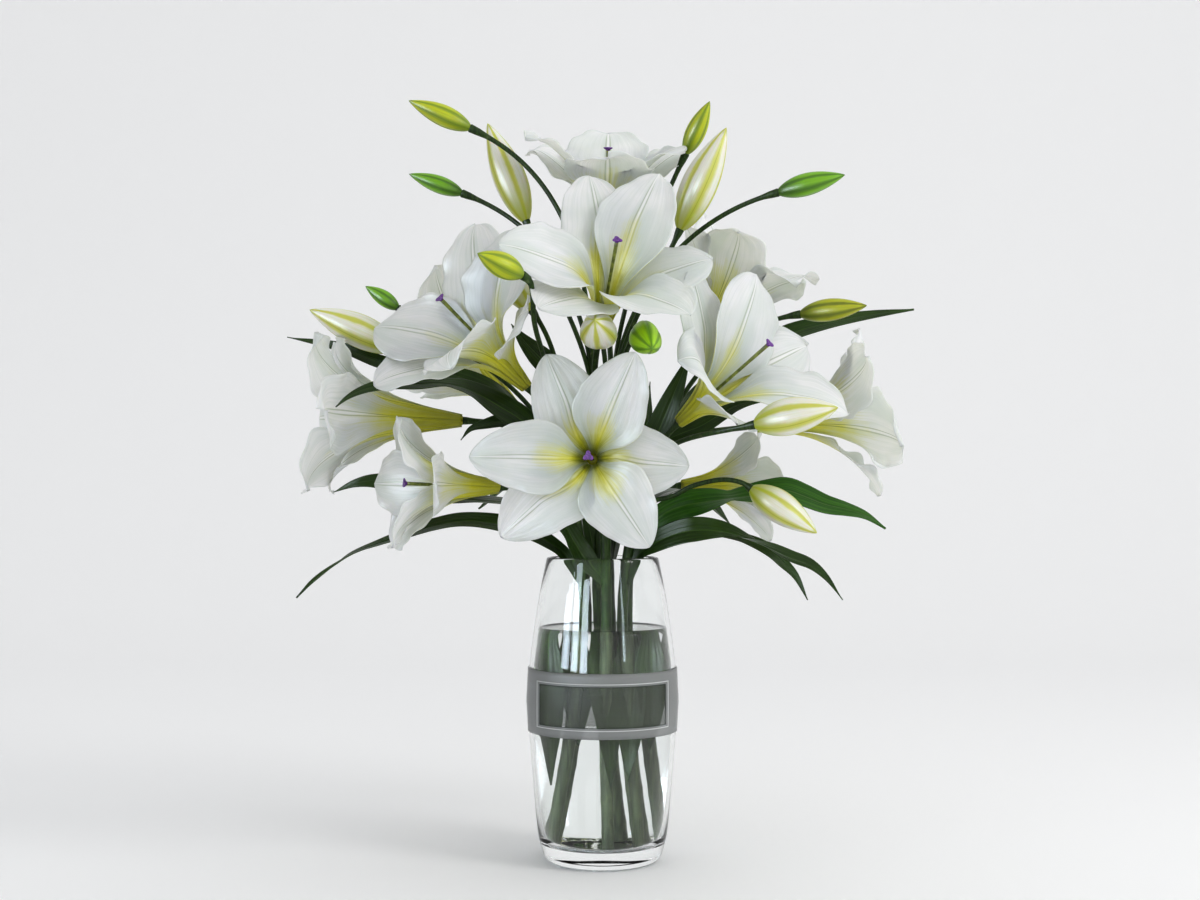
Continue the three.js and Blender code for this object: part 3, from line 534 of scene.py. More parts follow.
def map_of(s, t, number):
    """A blade's map: a number and, as its fraction, the place across, then the place along."""
    return np.stack([number + MAP_EDGE + MAP_HALF * (t + 1), s], -1).reshape(-1, 2)


def bloom_frame(face):
    """The bloom's axis, a direction square to it that points up, and the third one."""
    axis = unit(face)
    lift = np.array([0.0, 0, 1]) if abs(axis[2]) < 0.95 else np.array([0.0, 1, 0])
    up = unit(lift - lift @ axis * axis)
    return axis, up, np.cross(up, axis)


def petal(bloom, k):
    """The middle surface of one petal, and its thickness, on a grid.  s runs from the throat to
    the tip and t across from -1 to 1.  The midrib's slope grows from throat to open between the
    two shares in bend, and by curl towards the tip, and its radius and height are the sums of
    the slope's sine and cosine.  The half width opens from a narrow claw and closes in a round
    end.  Across, the petal bends on a circle round the throat low down and lies almost flat
    further out.  To that come a wave and a finer ruffle that grow towards the rim, a midrib
    between two grooves, and veins."""

    def own(key, plain=0):
        """This petal's value in a list of six, or a plain one."""
        return bloom[key][k] if key in bloom else plain

    def slope_of(q):
        """The midrib's slope in radians at shares q of its length."""
        opening = (final - bloom["throat"]) * ease((q - low) / (high - low))
        curling = curl * np.maximum((q - CURL_FROM) / (1 - CURL_FROM), 0) ** 2
        return np.radians(bloom["throat"] + opening + curling)

    layer = LAYERS[k % 2]
    length = bloom["length"] * own("lengths", 1) * layer["short"]
    half_width = bloom["width"] * own("widths", 1)
    final = bloom["open"] + own("opens") + layer["open"]
    curl = bloom["curl"] + own("curls")
    low, high = bloom["bend"]
    axis, up, side = bloom_frame(bloom["face"])
    s, t = blade_grid(PETAL_ROWS, PETAL_COLUMNS)
    s = 1 - (1 - s) ** 1.25
    rim = np.abs(t)
    fine = np.linspace(0, 1, MIDRIB_STEPS + 1)
    steps = slope_of((fine[1:] + fine[:-1]) / 2)
    sums = [
        np.append(0, np.cumsum(part(steps))) * length / MIDRIB_STEPS for part in (np.sin, np.cos)
    ]
    radius, height = np.interp(s, fine, THROAT_RADIUS + sums[0]), np.interp(s, fine, sums[1])
    slope = slope_of(s)
    turn = np.radians(bloom["roll"] + 60 * k + own("turns") * ease((s - 0.2) / 0.45))
    out = np.cos(turn)[..., None] * up + np.sin(turn)[..., None] * side
    along = -np.sin(turn)[..., None] * up + np.cos(turn)[..., None] * side

    widest = bloom.get("widest", 0.6)
    claw = 0.3 + 0.7 * ease(s / 0.4)
    end = np.maximum(1 - np.maximum((s - widest) / (1 - widest), 0) ** 2, 0) ** 0.66
    blade = half_width * claw * end + 1e-3
    tube = radius / np.maximum(np.cos(slope), 0.2)
    seam = layer["seam"] * np.minimum(tube, radius * 1.15)
    free = ease((s - 0.2) / 0.35)
    reach = (blade**-4 + (layer["wrap"] * tube) ** -4) ** -0.25 * free + seam * (1 - free)
    frill = np.sin(17 * s + 2.1 * k + 2.6 * (t < 0))
    frill = frill + 0.7 * np.sin(41 * s + 3.7 * k + 1.3 * (t > 0))
    frill = frill * ease((s - 0.35) / 0.3)
    reach = np.maximum(reach, 0.15) * (1 + 0.006 * (1 + bloom["ruffle"]) * frill)

    off = t * reach
    flat = ease((s - layer["flat_from"]) / 0.4)
    bow = (1 - flat) / tube + 0.004 * flat
    near, far = layer["behind"]
    behind = near + (far - near) * ease((s - 0.15) / 0.4)
    wave = np.sin(2 * math.pi * bloom["waves"] * s + 1.7 * k + 1.9 * (t < 0))
    wave = wave * ease((s - 0.45) / 0.35) * rim**2.2
    frill = (0.2 + 0.4 * bloom["ruffle"]) * frill * rim**5
    rib = 0.4 * np.exp(-((off / 0.9) ** 2)) - 0.35 * np.exp(-((np.abs(off) - 1.7) / 0.7) ** 2)
    rib = rib * ease(s / 0.15) * (1 - ease((s - 0.85) / 0.15))
    veins = 0.035 * np.sin(off * 1.9 + 3 * np.sin(off * 0.31))
    veins = veins * ease((s - 0.1) / 0.2) * (1 - rim**4)
    inwards = (1 - np.cos(bow * off)) / bow + bloom["ruffle"] * wave + frill - behind + rib + veins
    sideways = np.sin(bow * off) / bow
    tilt = np.radians(own("tilts") * ease((s - 0.3) / 0.5))
    inwards, sideways = (
        inwards * np.cos(tilt) + sideways * np.sin(tilt),
        sideways * np.cos(tilt) - inwards * np.sin(tilt),
    )
    middle = (
        np.asarray(bloom["base"], float)
        + out * (radius - inwards * np.cos(slope))[..., None]
        + axis * (height + inwards * np.sin(slope))[..., None]
        + along * sideways[..., None]
    )
    return middle, 0.5 + 0.7 * (1 - rim) * (1 - 0.5 * s), s, t


def sheet_solid(middle, thickness):
    """A thin closed sheet: its faces lie half the thickness along the normal from the middle."""
    normal = unit(np.cross(np.gradient(middle, axis=0), np.gradient(middle, axis=1)))
    offset = normal * thickness[..., None] / 2
    return slab(middle + offset, middle - offset)


def spindle(base, face, distance, radius, ends, sides, seam=0):
    """A closed solid about a line from a base along a face's direction: rings at a distance along
    it and a radius from it, with poles on the line at two end distances."""
    axis, up, side = bloom_frame(face)
    base = np.asarray(base, float)
    angle = around(sides, seam)
    rings = (
        base + axis * (distance + 0 * angle)[..., None]
        + up * (radius * np.cos(angle))[..., None] - side * (radius * np.sin(angle))[..., None]
    )
    points = np.vstack([rings.reshape(-1, 3), base + axis * np.reshape(ends, (2, 1))])
    return points, closed_faces(len(rings), sides, seam)


def ramp(value, low, high):
    """0 below low, 1 above high, and a smooth step between them."""
    return node(
        value.id_data, "ShaderNodeMapRange", {"interpolation_type": "SMOOTHSTEP", "clamp": True},
        Value=value, From_Min=low, From_Max=high,
    )[0]


def fall(value, low, high):
    """1 below low, 0 above high, and a smooth step between them."""
    return maths("SUBTRACT", 1.0, ramp(value, low, high))


def noise(spot, scale, detail=2.0, roughness=0.5):
    """Soft noise in a material, over a place."""
    return node(
        spot.id_data, "ShaderNodeTexNoise",
        Vector=spot, Scale=scale, Detail=detail, Roughness=roughness,
    )[0]


def spread(x, y, z=0.0):
    """A place in a material, from three numbers."""
    return node(x.id_data, "ShaderNodeCombineXYZ", X=x, Y=y, Z=z)[0]


def mapped(tree):
    """The object's own coordinates, then the two numbers of its map, in a material."""
    across, along, _ = node(tree, "ShaderNodeSeparateXYZ", in0=node(tree, "ShaderNodeUVMap")[0])
    return node(tree, "ShaderNodeTexCoord")["Object"], across, along


def bump(height, strength, distance, **under):
    """The shader's normal with a height pressed into it, over an earlier bump if one is given."""
    return node(
        height.id_data, "ShaderNodeBump",
        Strength=strength, Distance=distance, Height=height, **under,
    )[0]


def petal_material():
    """White petal skin.  Its map holds the petal's number and, as a fraction, the place across in
    the first number, eight more on the inner face, and the place from throat to tip in the second.
    Yellow-green fills the throat and runs out in a streak along the midrib, longer and stronger on
    the outer face, and fine veins lie on the white.  Painted green-grey shade lies on it in soft
    patches and along broad lengthwise folds and deepens towards the throat, and the midrib is a
    painted highlight between two lines of painted shade in its grooves."""
    material, shader = new_material(
        "petal_skin", Roughness=0.42, Subsurface_Weight=0.8, Subsurface_Radius=(1.0, 1.0, 0.8),
        Subsurface_Scale=0.005, Sheen_Weight=0.05,
    )
    spot, number, s = mapped(material.node_tree)
    side = scaled(maths("FRACT", number), 1 / MAP_HALF, -1 - MAP_EDGE / MAP_HALF)
    off = maths("ABSOLUTE", side)
    outer = maths("LESS_THAN", number, INNER_FACE - 0.5)
    mottle = noise(spot, 42.0, 4.0)
    shade_cloud = noise(spot, 15.0)
    veining = noise(spread(times(side, 9.0), times(s, 0.9), number), 2.2, 4.0, 0.65)
    fold = noise(spread(times(side, 1.3), times(s, 1.3), number), 1.5)
    white = blend(ramp(veining, 0.38, 0.62), (0.77, 0.79, 0.76), (0.86, 0.865, 0.845))
    # painted shade: green-grey along broad lengthwise folds, the same noise that presses the folds
    # into the bump
    white = blend(times(ramp(fold, 0.42, 0.66), 0.6), white, (0.56, 0.63, 0.59))
    # painted shade: soft green-grey patches at random over the white
    white = blend(times(ramp(shade_cloud, 0.40, 0.66), 0.6), white, (0.56, 0.63, 0.585))
    # painted shade: each petal darkens to grey-green towards the throat, deep inside the bloom
    white = blend(times(fall(s, 0.15, 0.72), 0.8), white, (0.30, 0.39, 0.34))
    # a painted highlight: the white midrib on its ridge, between a pair of grey lines of painted
    # shade in its grooves
    rib = fall(maths("ABSOLUTE", maths("SUBTRACT", off, 0.055)), 0.006, 0.026)
    rib = times(rib, fall(s, 0.85, 1.0))
    white = blend(times(rib, 0.7), white, (0.34, 0.39, 0.30))
    white = blend(times(fall(off, 0.015, 0.035), 0.6), white, (0.90, 0.91, 0.89))
    # the streak: it fills the throat and narrows along the petal, ragged by the veins
    wander = maths("ADD", scaled(mottle, 0.40, -0.20), scaled(veining, 0.44, -0.22))
    wedge = maths("ADD", scaled(off, scaled(outer, -0.25, 0.40), s), wander)
    streak = fall(wedge, scaled(outer, 0.08, 0.22), scaled(outer, 0.06, 0.69))
    throat = times(fall(maths("ADD", s, wander), 0.05, 0.40), scaled(outer, -0.6, 1.0))
    yellow = blend(throat, (0.64, 0.61, 0.018), (0.16, 0.19, 0.008))
    colour = blend(maths("POWER", streak, 0.8), white, yellow)
    colour = blend(times(times(times(rib, streak), outer), 0.85), colour, (0.12, 0.16, 0.01))
    normal = bump(fold, 0.5, 0.003, Normal=bump(veining, 0.35, 0.0007))
    feed(shader, Base_Color=colour, Normal=normal)
    return material


petal_skin = petal_material()
RECEPTACLE = [[-1.0, 2.6], [-0.6, 3.6], [0.2, 4.4], [1.4, 4.6], [2.4, 3.9], [3.0, 2.5]]
RECEPTACLE_SIDES = 24


def make_bloom(bloom):
    """One bloom: six petals on their green receptacle."""
    shapes, uv = [], []
    for k in range(6):
        middle, thickness, s, t = petal(bloom, k)
        shapes.append(sheet_solid(middle, thickness))
        uv += [map_of(s, t, k), map_of(s, t, k + INNER_FACE)]
    distance, radius = np.array(RECEPTACLE).T[..., None]
    shapes.append(spindle(
        bloom["base"], bloom["face"], distance, radius, distance[[0, -1]], RECEPTACLE_SIDES
    ))
    uv.append(np.tile([0.5, 0.0], (len(shapes[-1][0]), 1)))
    piece = put_mesh("petals_" + bloom["name"], *joined(shapes), petal_skin, np.vstack(uv))
    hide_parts("bloom_" + bloom["name"])
    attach(piece, "root")


for bloom in BLOOMS:
    make_bloom(bloom)


# ------------------------------------------------------------------ styles and stigmas
# From the throat rises one smooth green style, and on it sits the purple stigma with three
# swollen lobes.

STYLE_ROWS, STYLE_SIDES = 20, 18
STYLE_FOOT, STYLE_RADIUS, STYLE_WAIST = 0.3, 1.55, 0.35
STYLE_SHARE = 0.66  # of the petals' length, unless a bloom has its own
STIGMA_ROWS, STIGMA_SIDES = 15, 36
STIGMA_LENGTH, STIGMA_DIP = 3.6, 0.7  # the dip is in the middle of its flat end
STIGMA_NECK, STIGMA_SWELL, STIGMA_LOBES = 1.5, 2.0, 0.28

# the style's green is kept dark as painted shade, for the shadow it stands in deep inside the
# blooms
style_skin, shader = new_material("style_skin", Roughness=0.4)
speck = noise(node(style_skin.node_tree, "ShaderNodeTexCoord")["Object"], 220.0)
feed(shader, Base_Color=blend(ramp(speck, 0.3, 0.7), (0.08, 0.10, 0.014), (0.24, 0.28, 0.04)))
stigma_skin, shader = new_material("stigma_skin", Roughness=0.55)
speck = noise(node(stigma_skin.node_tree, "ShaderNodeTexCoord")["Object"], 900.0, 3.0)
feed(
    shader, Normal=bump(speck, 0.5, 0.0004),
    Base_Color=blend(ramp(speck, 0.35, 0.65), (0.07, 0.012, 0.16), (0.22, 0.06, 0.38)),
)


def stigma_shape(base, face, foot):
    """The stigma: a short club about the bloom's axis.  Its radius swells from the style to its
    flat end, and the cosine of three times the angle gives the three lobes."""
    h = np.linspace(0, 1, STIGMA_ROWS)[:, None]
    round_end = np.sqrt(np.clip(1 - np.maximum((h - 0.55) / 0.45, 0) ** 2, 0.0004, 1))
    lobes = 1 + STIGMA_LOBES * ease(h / 0.5) * np.cos(3 * around(STIGMA_SIDES))
    radius = (STIGMA_NECK + STIGMA_SWELL * ease(h / 0.7)) * round_end * lobes
    height = foot + STIGMA_LENGTH * h - STIGMA_DIP * ease((h - 0.75) / 0.25)
    return spindle(base, face, height, radius, height[[0, -1]], STIGMA_SIDES)


for bloom in BLOOMS:
    top = bloom["length"] * bloom.get("style", STYLE_SHARE)
    share = np.linspace(0, 1, STYLE_ROWS)[:, None]
    distance = STYLE_FOOT + (top - STYLE_FOOT) * share
    radius = STYLE_RADIUS - STYLE_WAIST * np.sin(math.pi * share)
    rod_shape = spindle(
        bloom["base"], bloom["face"], distance, radius, distance[[0, -1]], STYLE_SIDES
    )
    style = put_mesh("style_rod_" + bloom["name"], *rod_shape, style_skin)
    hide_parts("style_" + bloom["name"])
    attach(style, "root")
    head = stigma_shape(bloom["base"], bloom["face"], top + 0.05)
    stigma = put_mesh("stigma_head_" + bloom["name"], *head, stigma_skin)
    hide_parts("stigma_" + bloom["name"])
    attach(stigma, "root")


# ------------------------------------------------------------------ buds
# A closed bud is six petals folded into a spindle with three ribs.  Young ones are green, and
# older ones turn cream white between green ribs.

# The word after bud_ names the skin unless skin does, and via holds points of the stalk.
BUDS = [
    dict(name="bud_lime_left", base=[-110, -10, 608], tip=[-161, -20, 629], radius=9.5),
    dict(name="bud_green_left", base=[-120, 30, 561], tip=[-166, 25, 577], radius=8),
    dict(name="bud_white_left", base=[-65, 20, 535], tip=[-99, 30, 622], radius=15),
    dict(name="bud_green_right", base=[70, 8, 590], tip=[90, -6, 632], radius=9, skin="lime"),
    dict(name="bud_white_right", base=[64, -20, 521], tip=[102, -30, 604], radius=16),
    dict(name="bud_green_far", base=[146, -10, 554], tip=[201, -20, 567], radius=10),
    dict(name="bud_olive_far", base=[164, -10, 452], tip=[217, -30, 457], radius=10),
    dict(name="bud_pale_upper", base=[114, -133, 354], tip=[175, -150, 366], radius=15,
         skin="white"),
    dict(name="bud_pale_lower", base=[119, -50, 307], tip=[171, -60, 271], radius=14,
         skin="white",
         via=[[58, -27, 301], [71, -34, 308], [84, -40, 312], [98, -45, 314], [112, -48.6, 311.5]]),
    dict(name="bud_white_out", base=[-171, 0, 424], tip=[-244, -10, 456], radius=15),
    dict(name="bud_small_back", base=[-171, 0, 458], tip=[-199, 0, 477], radius=7, skin="green"),
    dict(name="bud_lime_mid", base=[-59, -161, 463], tip=[-91, -184, 476], radius=10,
         via=[[-44, -66, 400], [-52, -124, 432], [-54, -156, 459]]),
    dict(name="bud_white_mid", base=[-57, -40, 451], tip=[-90, -32, 497], radius=12),
    dict(name="bud_white_front", base=[-1, -95, 423], tip=[-6, -160, 430], radius=15),
    dict(name="bud_green_front", base=[30, -80, 431], tip=[37, -140, 411], radius=13,
         skin="fresh"),
]
BUD_ROWS, BUD_SIDES = 48, 60
BUD_COLOURS = dict(  # body, stripe and foot
    green=((0.22, 0.50, 0.012), (0.07, 0.20, 0.006), (0.05, 0.13, 0.008)),
    fresh=((0.48, 0.82, 0.02), (0.14, 0.36, 0.008), (0.09, 0.24, 0.01)),
    lime=((0.52, 0.58, 0.010), (0.19, 0.29, 0.006), (0.16, 0.25, 0.008)),
    olive=((0.48, 0.51, 0.015), (0.15, 0.19, 0.008), (0.11, 0.16, 0.01)),
    white=((0.82, 0.82, 0.75), (0.56, 0.58, 0.012), (0.44, 0.50, 0.012)),
)


def bud_material(name, body, stripe, foot):
    """Bud skin.  Its map holds the angle in turns and the place from foot to tip.  The three
    ribs and the seams between them are striped, and the foot and the tip take the foot's
    colour."""
    material, shader = new_material(
        name, Roughness=0.33, Subsurface_Weight=0.2, Subsurface_Scale=0.003
    )
    spot, turn, along = mapped(material.node_tree)
    third = maths("FRACT", maths("ADD", times(turn, 3.0), 0.5))
    off = maths("ABSOLUTE", maths("SUBTRACT", third, 0.5))
    ragged = maths("ADD", off, scaled(noise(spot, 70.0, 3.0), 0.1, -0.05))
    stripes = maths("MAXIMUM", fall(ragged, 0.03, 0.19), ramp(ragged, 0.36, 0.46))
    colour = blend(times(stripes, 0.85), body, stripe)
    ends = maths("MAXIMUM", fall(along, 0.03, 0.42), ramp(along, 0.9, 1.0))
    colour = blend(times(ends, 0.8), colour, foot)
    groove = fall(off, 0.0, 0.02)
    colour = blend(times(groove, 0.5), colour, tuple(0.5 * channel for channel in foot))
    lines = noise(spread(times(turn, 60.0), along), 1.6, 3.0)
    colour = blend(times(ramp(lines, 0.4, 0.7), 0.25), colour, stripe)
    feed(shader, Base_Color=colour, Normal=bump(lines, 0.3, 0.0005))
    return material


BUD_SKINS = {
    kind: bud_material(kind + "_bud_skin", *colours) for kind, colours in BUD_COLOURS.items()
}


def bud_shape(bud):
    """The bud's skin: rings about the line from base to tip.  The radius is a sine of the place
    along it, fuller low down.  Round the ring a cosine of three turns swells the ribs, each rib
    carries a fine groove, and a deeper one lies where the sepals meet."""
    spine = np.subtract(bud["tip"], bud["base"]).astype(float)
    length = np.linalg.norm(spine)
    s = (0.5 - 0.5 * np.cos(np.linspace(0.03, math.pi - 0.03, BUD_ROWS)))[:, None]
    angle = around(BUD_SIDES, 1)
    turn = angle / (2 * math.pi)
    third = np.abs((3 * turn + 0.5) % 1 - 0.5)
    radius = bud["radius"] * (0.14 * (1 - s) + 0.86 * np.sin(math.pi * s**0.85) ** 0.8)
    relief = 0.06 * np.cos(3 * angle) - 0.03 * np.exp(-((third / 0.02) ** 2))
    relief = relief - 0.05 * np.exp(-(((0.5 - third) / 0.03) ** 2))
    radius = radius * (1 + relief * np.sin(math.pi * s) ** 0.4)
    uv = np.stack([turn + 0 * s, s + 0 * turn], -1).reshape(-1, 2)
    uv = np.vstack([uv, [[0.5, 0.0], [0.5, 1.0]]])
    return *spindle(bud["base"], spine, s * length, radius, (0, length), BUD_SIDES, 1), uv


for bud in BUDS:
    kind = bud.get("skin", bud["name"].split("_")[1])
    points, faces, uv = bud_shape(bud)
    piece = put_mesh(bud["name"].replace("bud", "closed"), points, faces, BUD_SKINS[kind], uv)
    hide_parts(bud["name"])
    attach(piece, "root")


# ------------------------------------------------------------------ stems and leaves
# Each stem is one firm round shoot that stands on the vase's floor, with thinner stalks to its
# blooms and buds and lance-shaped leaves with parallel veins.  Some have old leaves left on them
# under the water.

STEM_FOOT = 16.8  # height of the cut ends
SHOOT_RADIUS, SHOOT_POINTS, SHOOT_SIDES = 4.4, 161, 20
SHOOT_TAPER, TAPER_FROM = 1.7, 0.86  # how much thinner its tip is, and from which share
KNOT = 0.25  # how far the knots along a shoot stand out
DOME = np.radians([15, 45, 75])  # the rings of a rod's rounded end
STALK_POINTS, STALK_SIDES = 40, 16
LEAF_ROWS, LEAF_COLUMNS = 72, 25
# A stalk: how far past the flower's base it goes, its radius, the share of it that is its knob
# under the flower, and how much thicker it starts.
BLOOM_STALK = dict(past=-1.0, radius=2.4, knob_share=0.1, root=0.6)
BUD_STALK = dict(past=0.4, radius=2.0, knob_share=0.07, root=0.5)
# Flowers have the share along the shoot where their stalk leaves it.  A leaf is its midrib, half
# width, roll at even steps and fold, and a 1 at its end paints it a brighter green, as painted
# light for the leaf that the key light falls on.  The sunk leaves are those under the water.
STEMS = [
    dict(
        name="stem_left_front",
        sunk=[
            ([[-36, -6, 188], [-38, -14, 150], [-39, -20, 110], [-38, -24, 66]], 13, [0, 0], 0.2),
            ([[-42, 8, 186], [-44, -2, 140], [-44, -10, 104]], 10, [0, 0], 0.2),
            ([[-19, 2, 187], [-18, -7, 145], [-16, -14, 98]], 13, [0, 0], 0.2),
        ],
        shoot=[[-34, -6, 0], [-20, -12, 120], [-15, -15, 215], [-22, -24, 280], [-30, -30, 325]],
        blooms=dict(left_low=0.82, left_high=0.99),
        buds=dict(bud_white_mid=0.97, bud_lime_mid=0.99),
        leaves=[
            ([[-16, -17, 230], [-32, -14, 253], [-46, -23, 264], [-64, -33, 273], [-91, -40, 279],
              [-116, -40, 280], [-137, -39, 276], [-160, -38, 269], [-181, -37, 262],
              [-203, -38, 254], [-217, -41, 245], [-234, -46, 232], [-246, -50, 219]],
             10, [-80, -65, -40, -30, -3, 70], 0.2),
            ([[-31, -32, 332], [-45, -34, 354], [-61, -36, 363], [-79, -38, 362], [-94, -40, 359],
              [-107, -41, 355], [-115, -42, 346]], 8, [-60, -55], 0.25),
            ([[-24, -26, 300], [-45, -38, 340], [-66, -46, 362], [-82, -52, 372], [-98, -56, 381],
              [-112, -60, 387], [-130, -62, 390], [-147, -66, 389], [-169, -71, 389],
              [-187, -78, 385], [-200, -85, 378], [-208, -92, 370]],
             12, [-80, -80, -72, -20, -45, -75], 0.2),
        ],
    ),
    dict(
        name="stem_left_back",
        shoot=[[-26, 22, 0], [-16, 12, 120], [-14, 5, 215], [-24, 8, 290], [-38, 14, 335]],
        blooms=dict(left_out=0.97, left_back=0.98),
        buds=dict(bud_white_out=0.99, bud_small_back=0.99),
        leaves=[
            ([[-37, 14, 332], [-66, 4, 362], [-95, -2, 388], [-130, -6, 404], [-158, -8, 410]],
             13, [-40, -60], 0.2),
            ([[-20, 7, 268], [-60, 16, 290], [-122, 30, 298], [-160, 40, 306], [-195, 45, 314],
              [-214, 46, 312], [-234, 49, 304]], 14, [-30, -10, -15, -45, -75, -80], 0.2),
            ([[-112, 6, 396], [-148, 8, 406], [-185, 13, 413], [-222, 18, 427], [-268, 18, 436]],
             7, [-60, -60], 0.2),
            ([[-22, 8, 280], [-50, 46, 306], [-82, 84, 310], [-112, 112, 290]], 12, [0, 0], 0.25),
        ],
    ),
    dict(
        name="stem_front",
        sunk=[
            ([[-2, -8, 189], [0, -18, 150], [4, -27, 105], [6, -31, 66]], 12, [0, 0], 0.2),
            ([[16, -4, 188], [18, -14, 140], [19, -22, 100], [18, -26, 70]], 12, [0, 0], 0.2),
        ],
        shoot=[[4, -34, 0], [2, -20, 120], [3, -19, 215], [2, -24, 290], [4, -26, 350]],
        blooms=dict(front=0.85),
        buds=dict(bud_white_front=0.98, bud_green_front=0.99),
        leaves=[
            ([[2, -20, 230], [-8, -24, 241], [-17, -27, 253], [-25, -33, 266], [-33, -41, 280],
              [-46, -49, 292], [-66, -56, 298]], 11, [-85, -80, -70], 0.2),
        ],
    ),
    dict(
        name="stem_crown",
        shoot=[[8, 37, 0], [2, 22, 120], [-4, 2, 215], [-4, -2, 300], [-6, -4, 370]],
        blooms=dict(crown=0.98),
        buds=dict(bud_white_left=0.98, bud_lime_left=0.99, bud_green_left=0.99),
        leaves=[
            ([[-6, -4, 364], [-28, -20, 394], [-47, -27, 410], [-57, -28, 420], [-66, -28, 430],
              [-75, -28, 442]], 13, [-70, -80], 0.2),
            ([[-5, -3, 350], [8, -12, 385], [16, -16, 405], [22, -20, 428]], 6, [60, 60], 0.2),
            ([[-4, 1, 228], [-8, -5, 254], [-12, -8, 280], [-18, -11, 306]], 9, [-85, -80], 0.2),
        ],
    ),
    dict(
        name="stem_top",
        shoot=[[20, 24, 0], [13, 19, 120], [6, 16, 215], [6, 18, 300], [8, 22, 380]],
        blooms=dict(top=0.99),
        buds=dict(bud_white_right=0.98, bud_green_right=0.99, bud_green_far=0.99),
        leaves=[
            ([[6, 18, 300], [8, 60, 340], [4, 100, 352], [-2, 135, 335]], 12, [0, 0], 0.25),
            ([[7, 20, 345], [-14, 58, 384], [-34, 92, 404], [-52, 122, 398]], 11, [0, 0], 0.25),
            ([[6, 16, 228], [10, 5, 252], [14, 0, 280], [17, -4, 304]], 8, [85, 80], 0.2),
        ],
    ),
    dict(
        name="stem_right_front",
        sunk=[
            ([[31, -2, 188], [33, -10, 150], [34, -16, 116], [33, -20, 92]], 12, [0, 0], 0.2),
            ([[42, 8, 186], [44, 0, 150], [45, -6, 118]], 9, [0, 0], 0.2),
        ],
        shoot=[[26, -22, 0], [18, -14, 120], [17, -8, 215], [26, -16, 280], [36, -22, 315]],
        blooms=dict(right_high=0.97),
        buds=dict(bud_pale_lower=0.93, bud_pale_upper=0.95, bud_olive_far=0.99),
        leaves=[
            ([[19, -11, 228], [31, -17, 254], [44, -30, 263], [60, -40, 270], [76, -48, 273],
              [96, -52, 272], [114, -55, 267], [132, -57, 260], [150, -58, 252], [166, -59, 246],
              [178, -60, 236], [191, -62, 218]], 11, [85, 75, 62, 5, -50, -60], 0.2),
            ([[19, -9, 236], [36, -12, 256], [58, -22, 266], [79, -30, 270], [112, -36, 266],
              [136, -40, 256], [147, -42, 246], [156, -44, 236], [165, -47, 217]],
             9, [20, 10, 10, 30, 80, 80], 0.2),
            ([[25, -15, 266], [41, -17, 279], [54, -19, 288], [68, -20, 293], [80, -20, 295],
              [93, -20, 297], [118, -20, 300], [136, -20, 303], [152, -20, 305], [165, -20, 301],
              [183, -20, 294], [200, -20, 290], [216, -20, 285], [233, -20, 274]],
             14, [80, 78, 12, 65, 80, 60], 0.2, 1),
            ([[36, -22, 315], [43, -20, 335], [52, -19, 346], [64, -18, 352], [80, -18, 358],
              [97, -17, 368], [109, -16, 375], [130, -15, 381], [155, -13, 382], [170, -12, 380]],
             9, [75, 65, 50, 40], 0.2),
            ([[33, -20, 303], [38, -27, 325], [43, -31, 346], [50, -32, 364], [57, -32, 381],
              [64, -31, 398], [72, -30, 418]], 11, [85, 80], 0.2),
        ],
    ),
    dict(
        name="stem_right_back",
        shoot=[[36, 6, 0], [26, 8, 120], [21, 9, 215], [30, 18, 290], [42, 28, 340]],
        blooms=dict(right_low=0.88, right_out=0.95, right_back=0.98),
        buds=dict(),
        leaves=[
            ([[41, 27, 337], [85, 66, 385], [130, 70, 420], [160, 62, 441], [195, 58, 452],
              [232, 56, 459], [272, 54, 464]], 13, [50, 60], 0.2),
            ([[33, 20, 318], [36, 10, 350], [38, 6, 375], [40, 4, 397]], 8, [10, 0], 0.2),
            ([[29, 17, 285], [58, 58, 304], [88, 88, 300], [118, 116, 274]], 12, [0, 0], 0.25),
        ],
    ),
]


def even(line, count):
    """Points at equal steps of length along a fine line."""
    far = np.concatenate([[0], np.cumsum(np.linalg.norm(np.diff(line, axis=0), axis=1))])
    at = np.linspace(0, far[-1], count)
    return np.stack([np.interp(at, far, line[:, i]) for i in range(3)], 1)


def rod(line, radii, sides):
    """A closed round rod: rings square to a line, each turned as little as can be from the one
    before it, with a small dome at both ends."""
    tangent = unit(np.gradient(line, axis=0))
    across = [unit(np.cross(tangent[0], [0.3, 0.5, 0.8]))]
    for direction in tangent[1:]:
        across.append(unit(across[-1] - across[-1] @ direction * direction))
    one = np.array(across)
    two = np.cross(tangent, one)
    low = line[0] - tangent[0] * radii[0] * 0.5 * np.cos(DOME)[:, None]
    high = line[-1] + tangent[-1] * radii[-1] * 0.5 * np.cos(DOME)[::-1, None]
    centres = np.vstack([low, line, high])
    radii = np.concatenate([radii[0] * np.sin(DOME), radii, radii[-1] * np.sin(DOME)[::-1]])
    extra = len(DOME)
    one, two = (
        np.vstack([v[:1]] * extra + [v] + [v[-1:]] * extra)[:, None] for v in (one, two)
    )
    angle = around(sides)[..., None]
    rings = centres[:, None] + radii[:, None, None] * (np.cos(angle) * one + np.sin(angle) * two)
    number = np.arange(len(centres) * sides)[None]
    caps = [number[:, sides - 1 :: -1], number[:, -sides:]]
    return rings.reshape(-1, 3), [ring_faces(len(centres), sides), *caps]


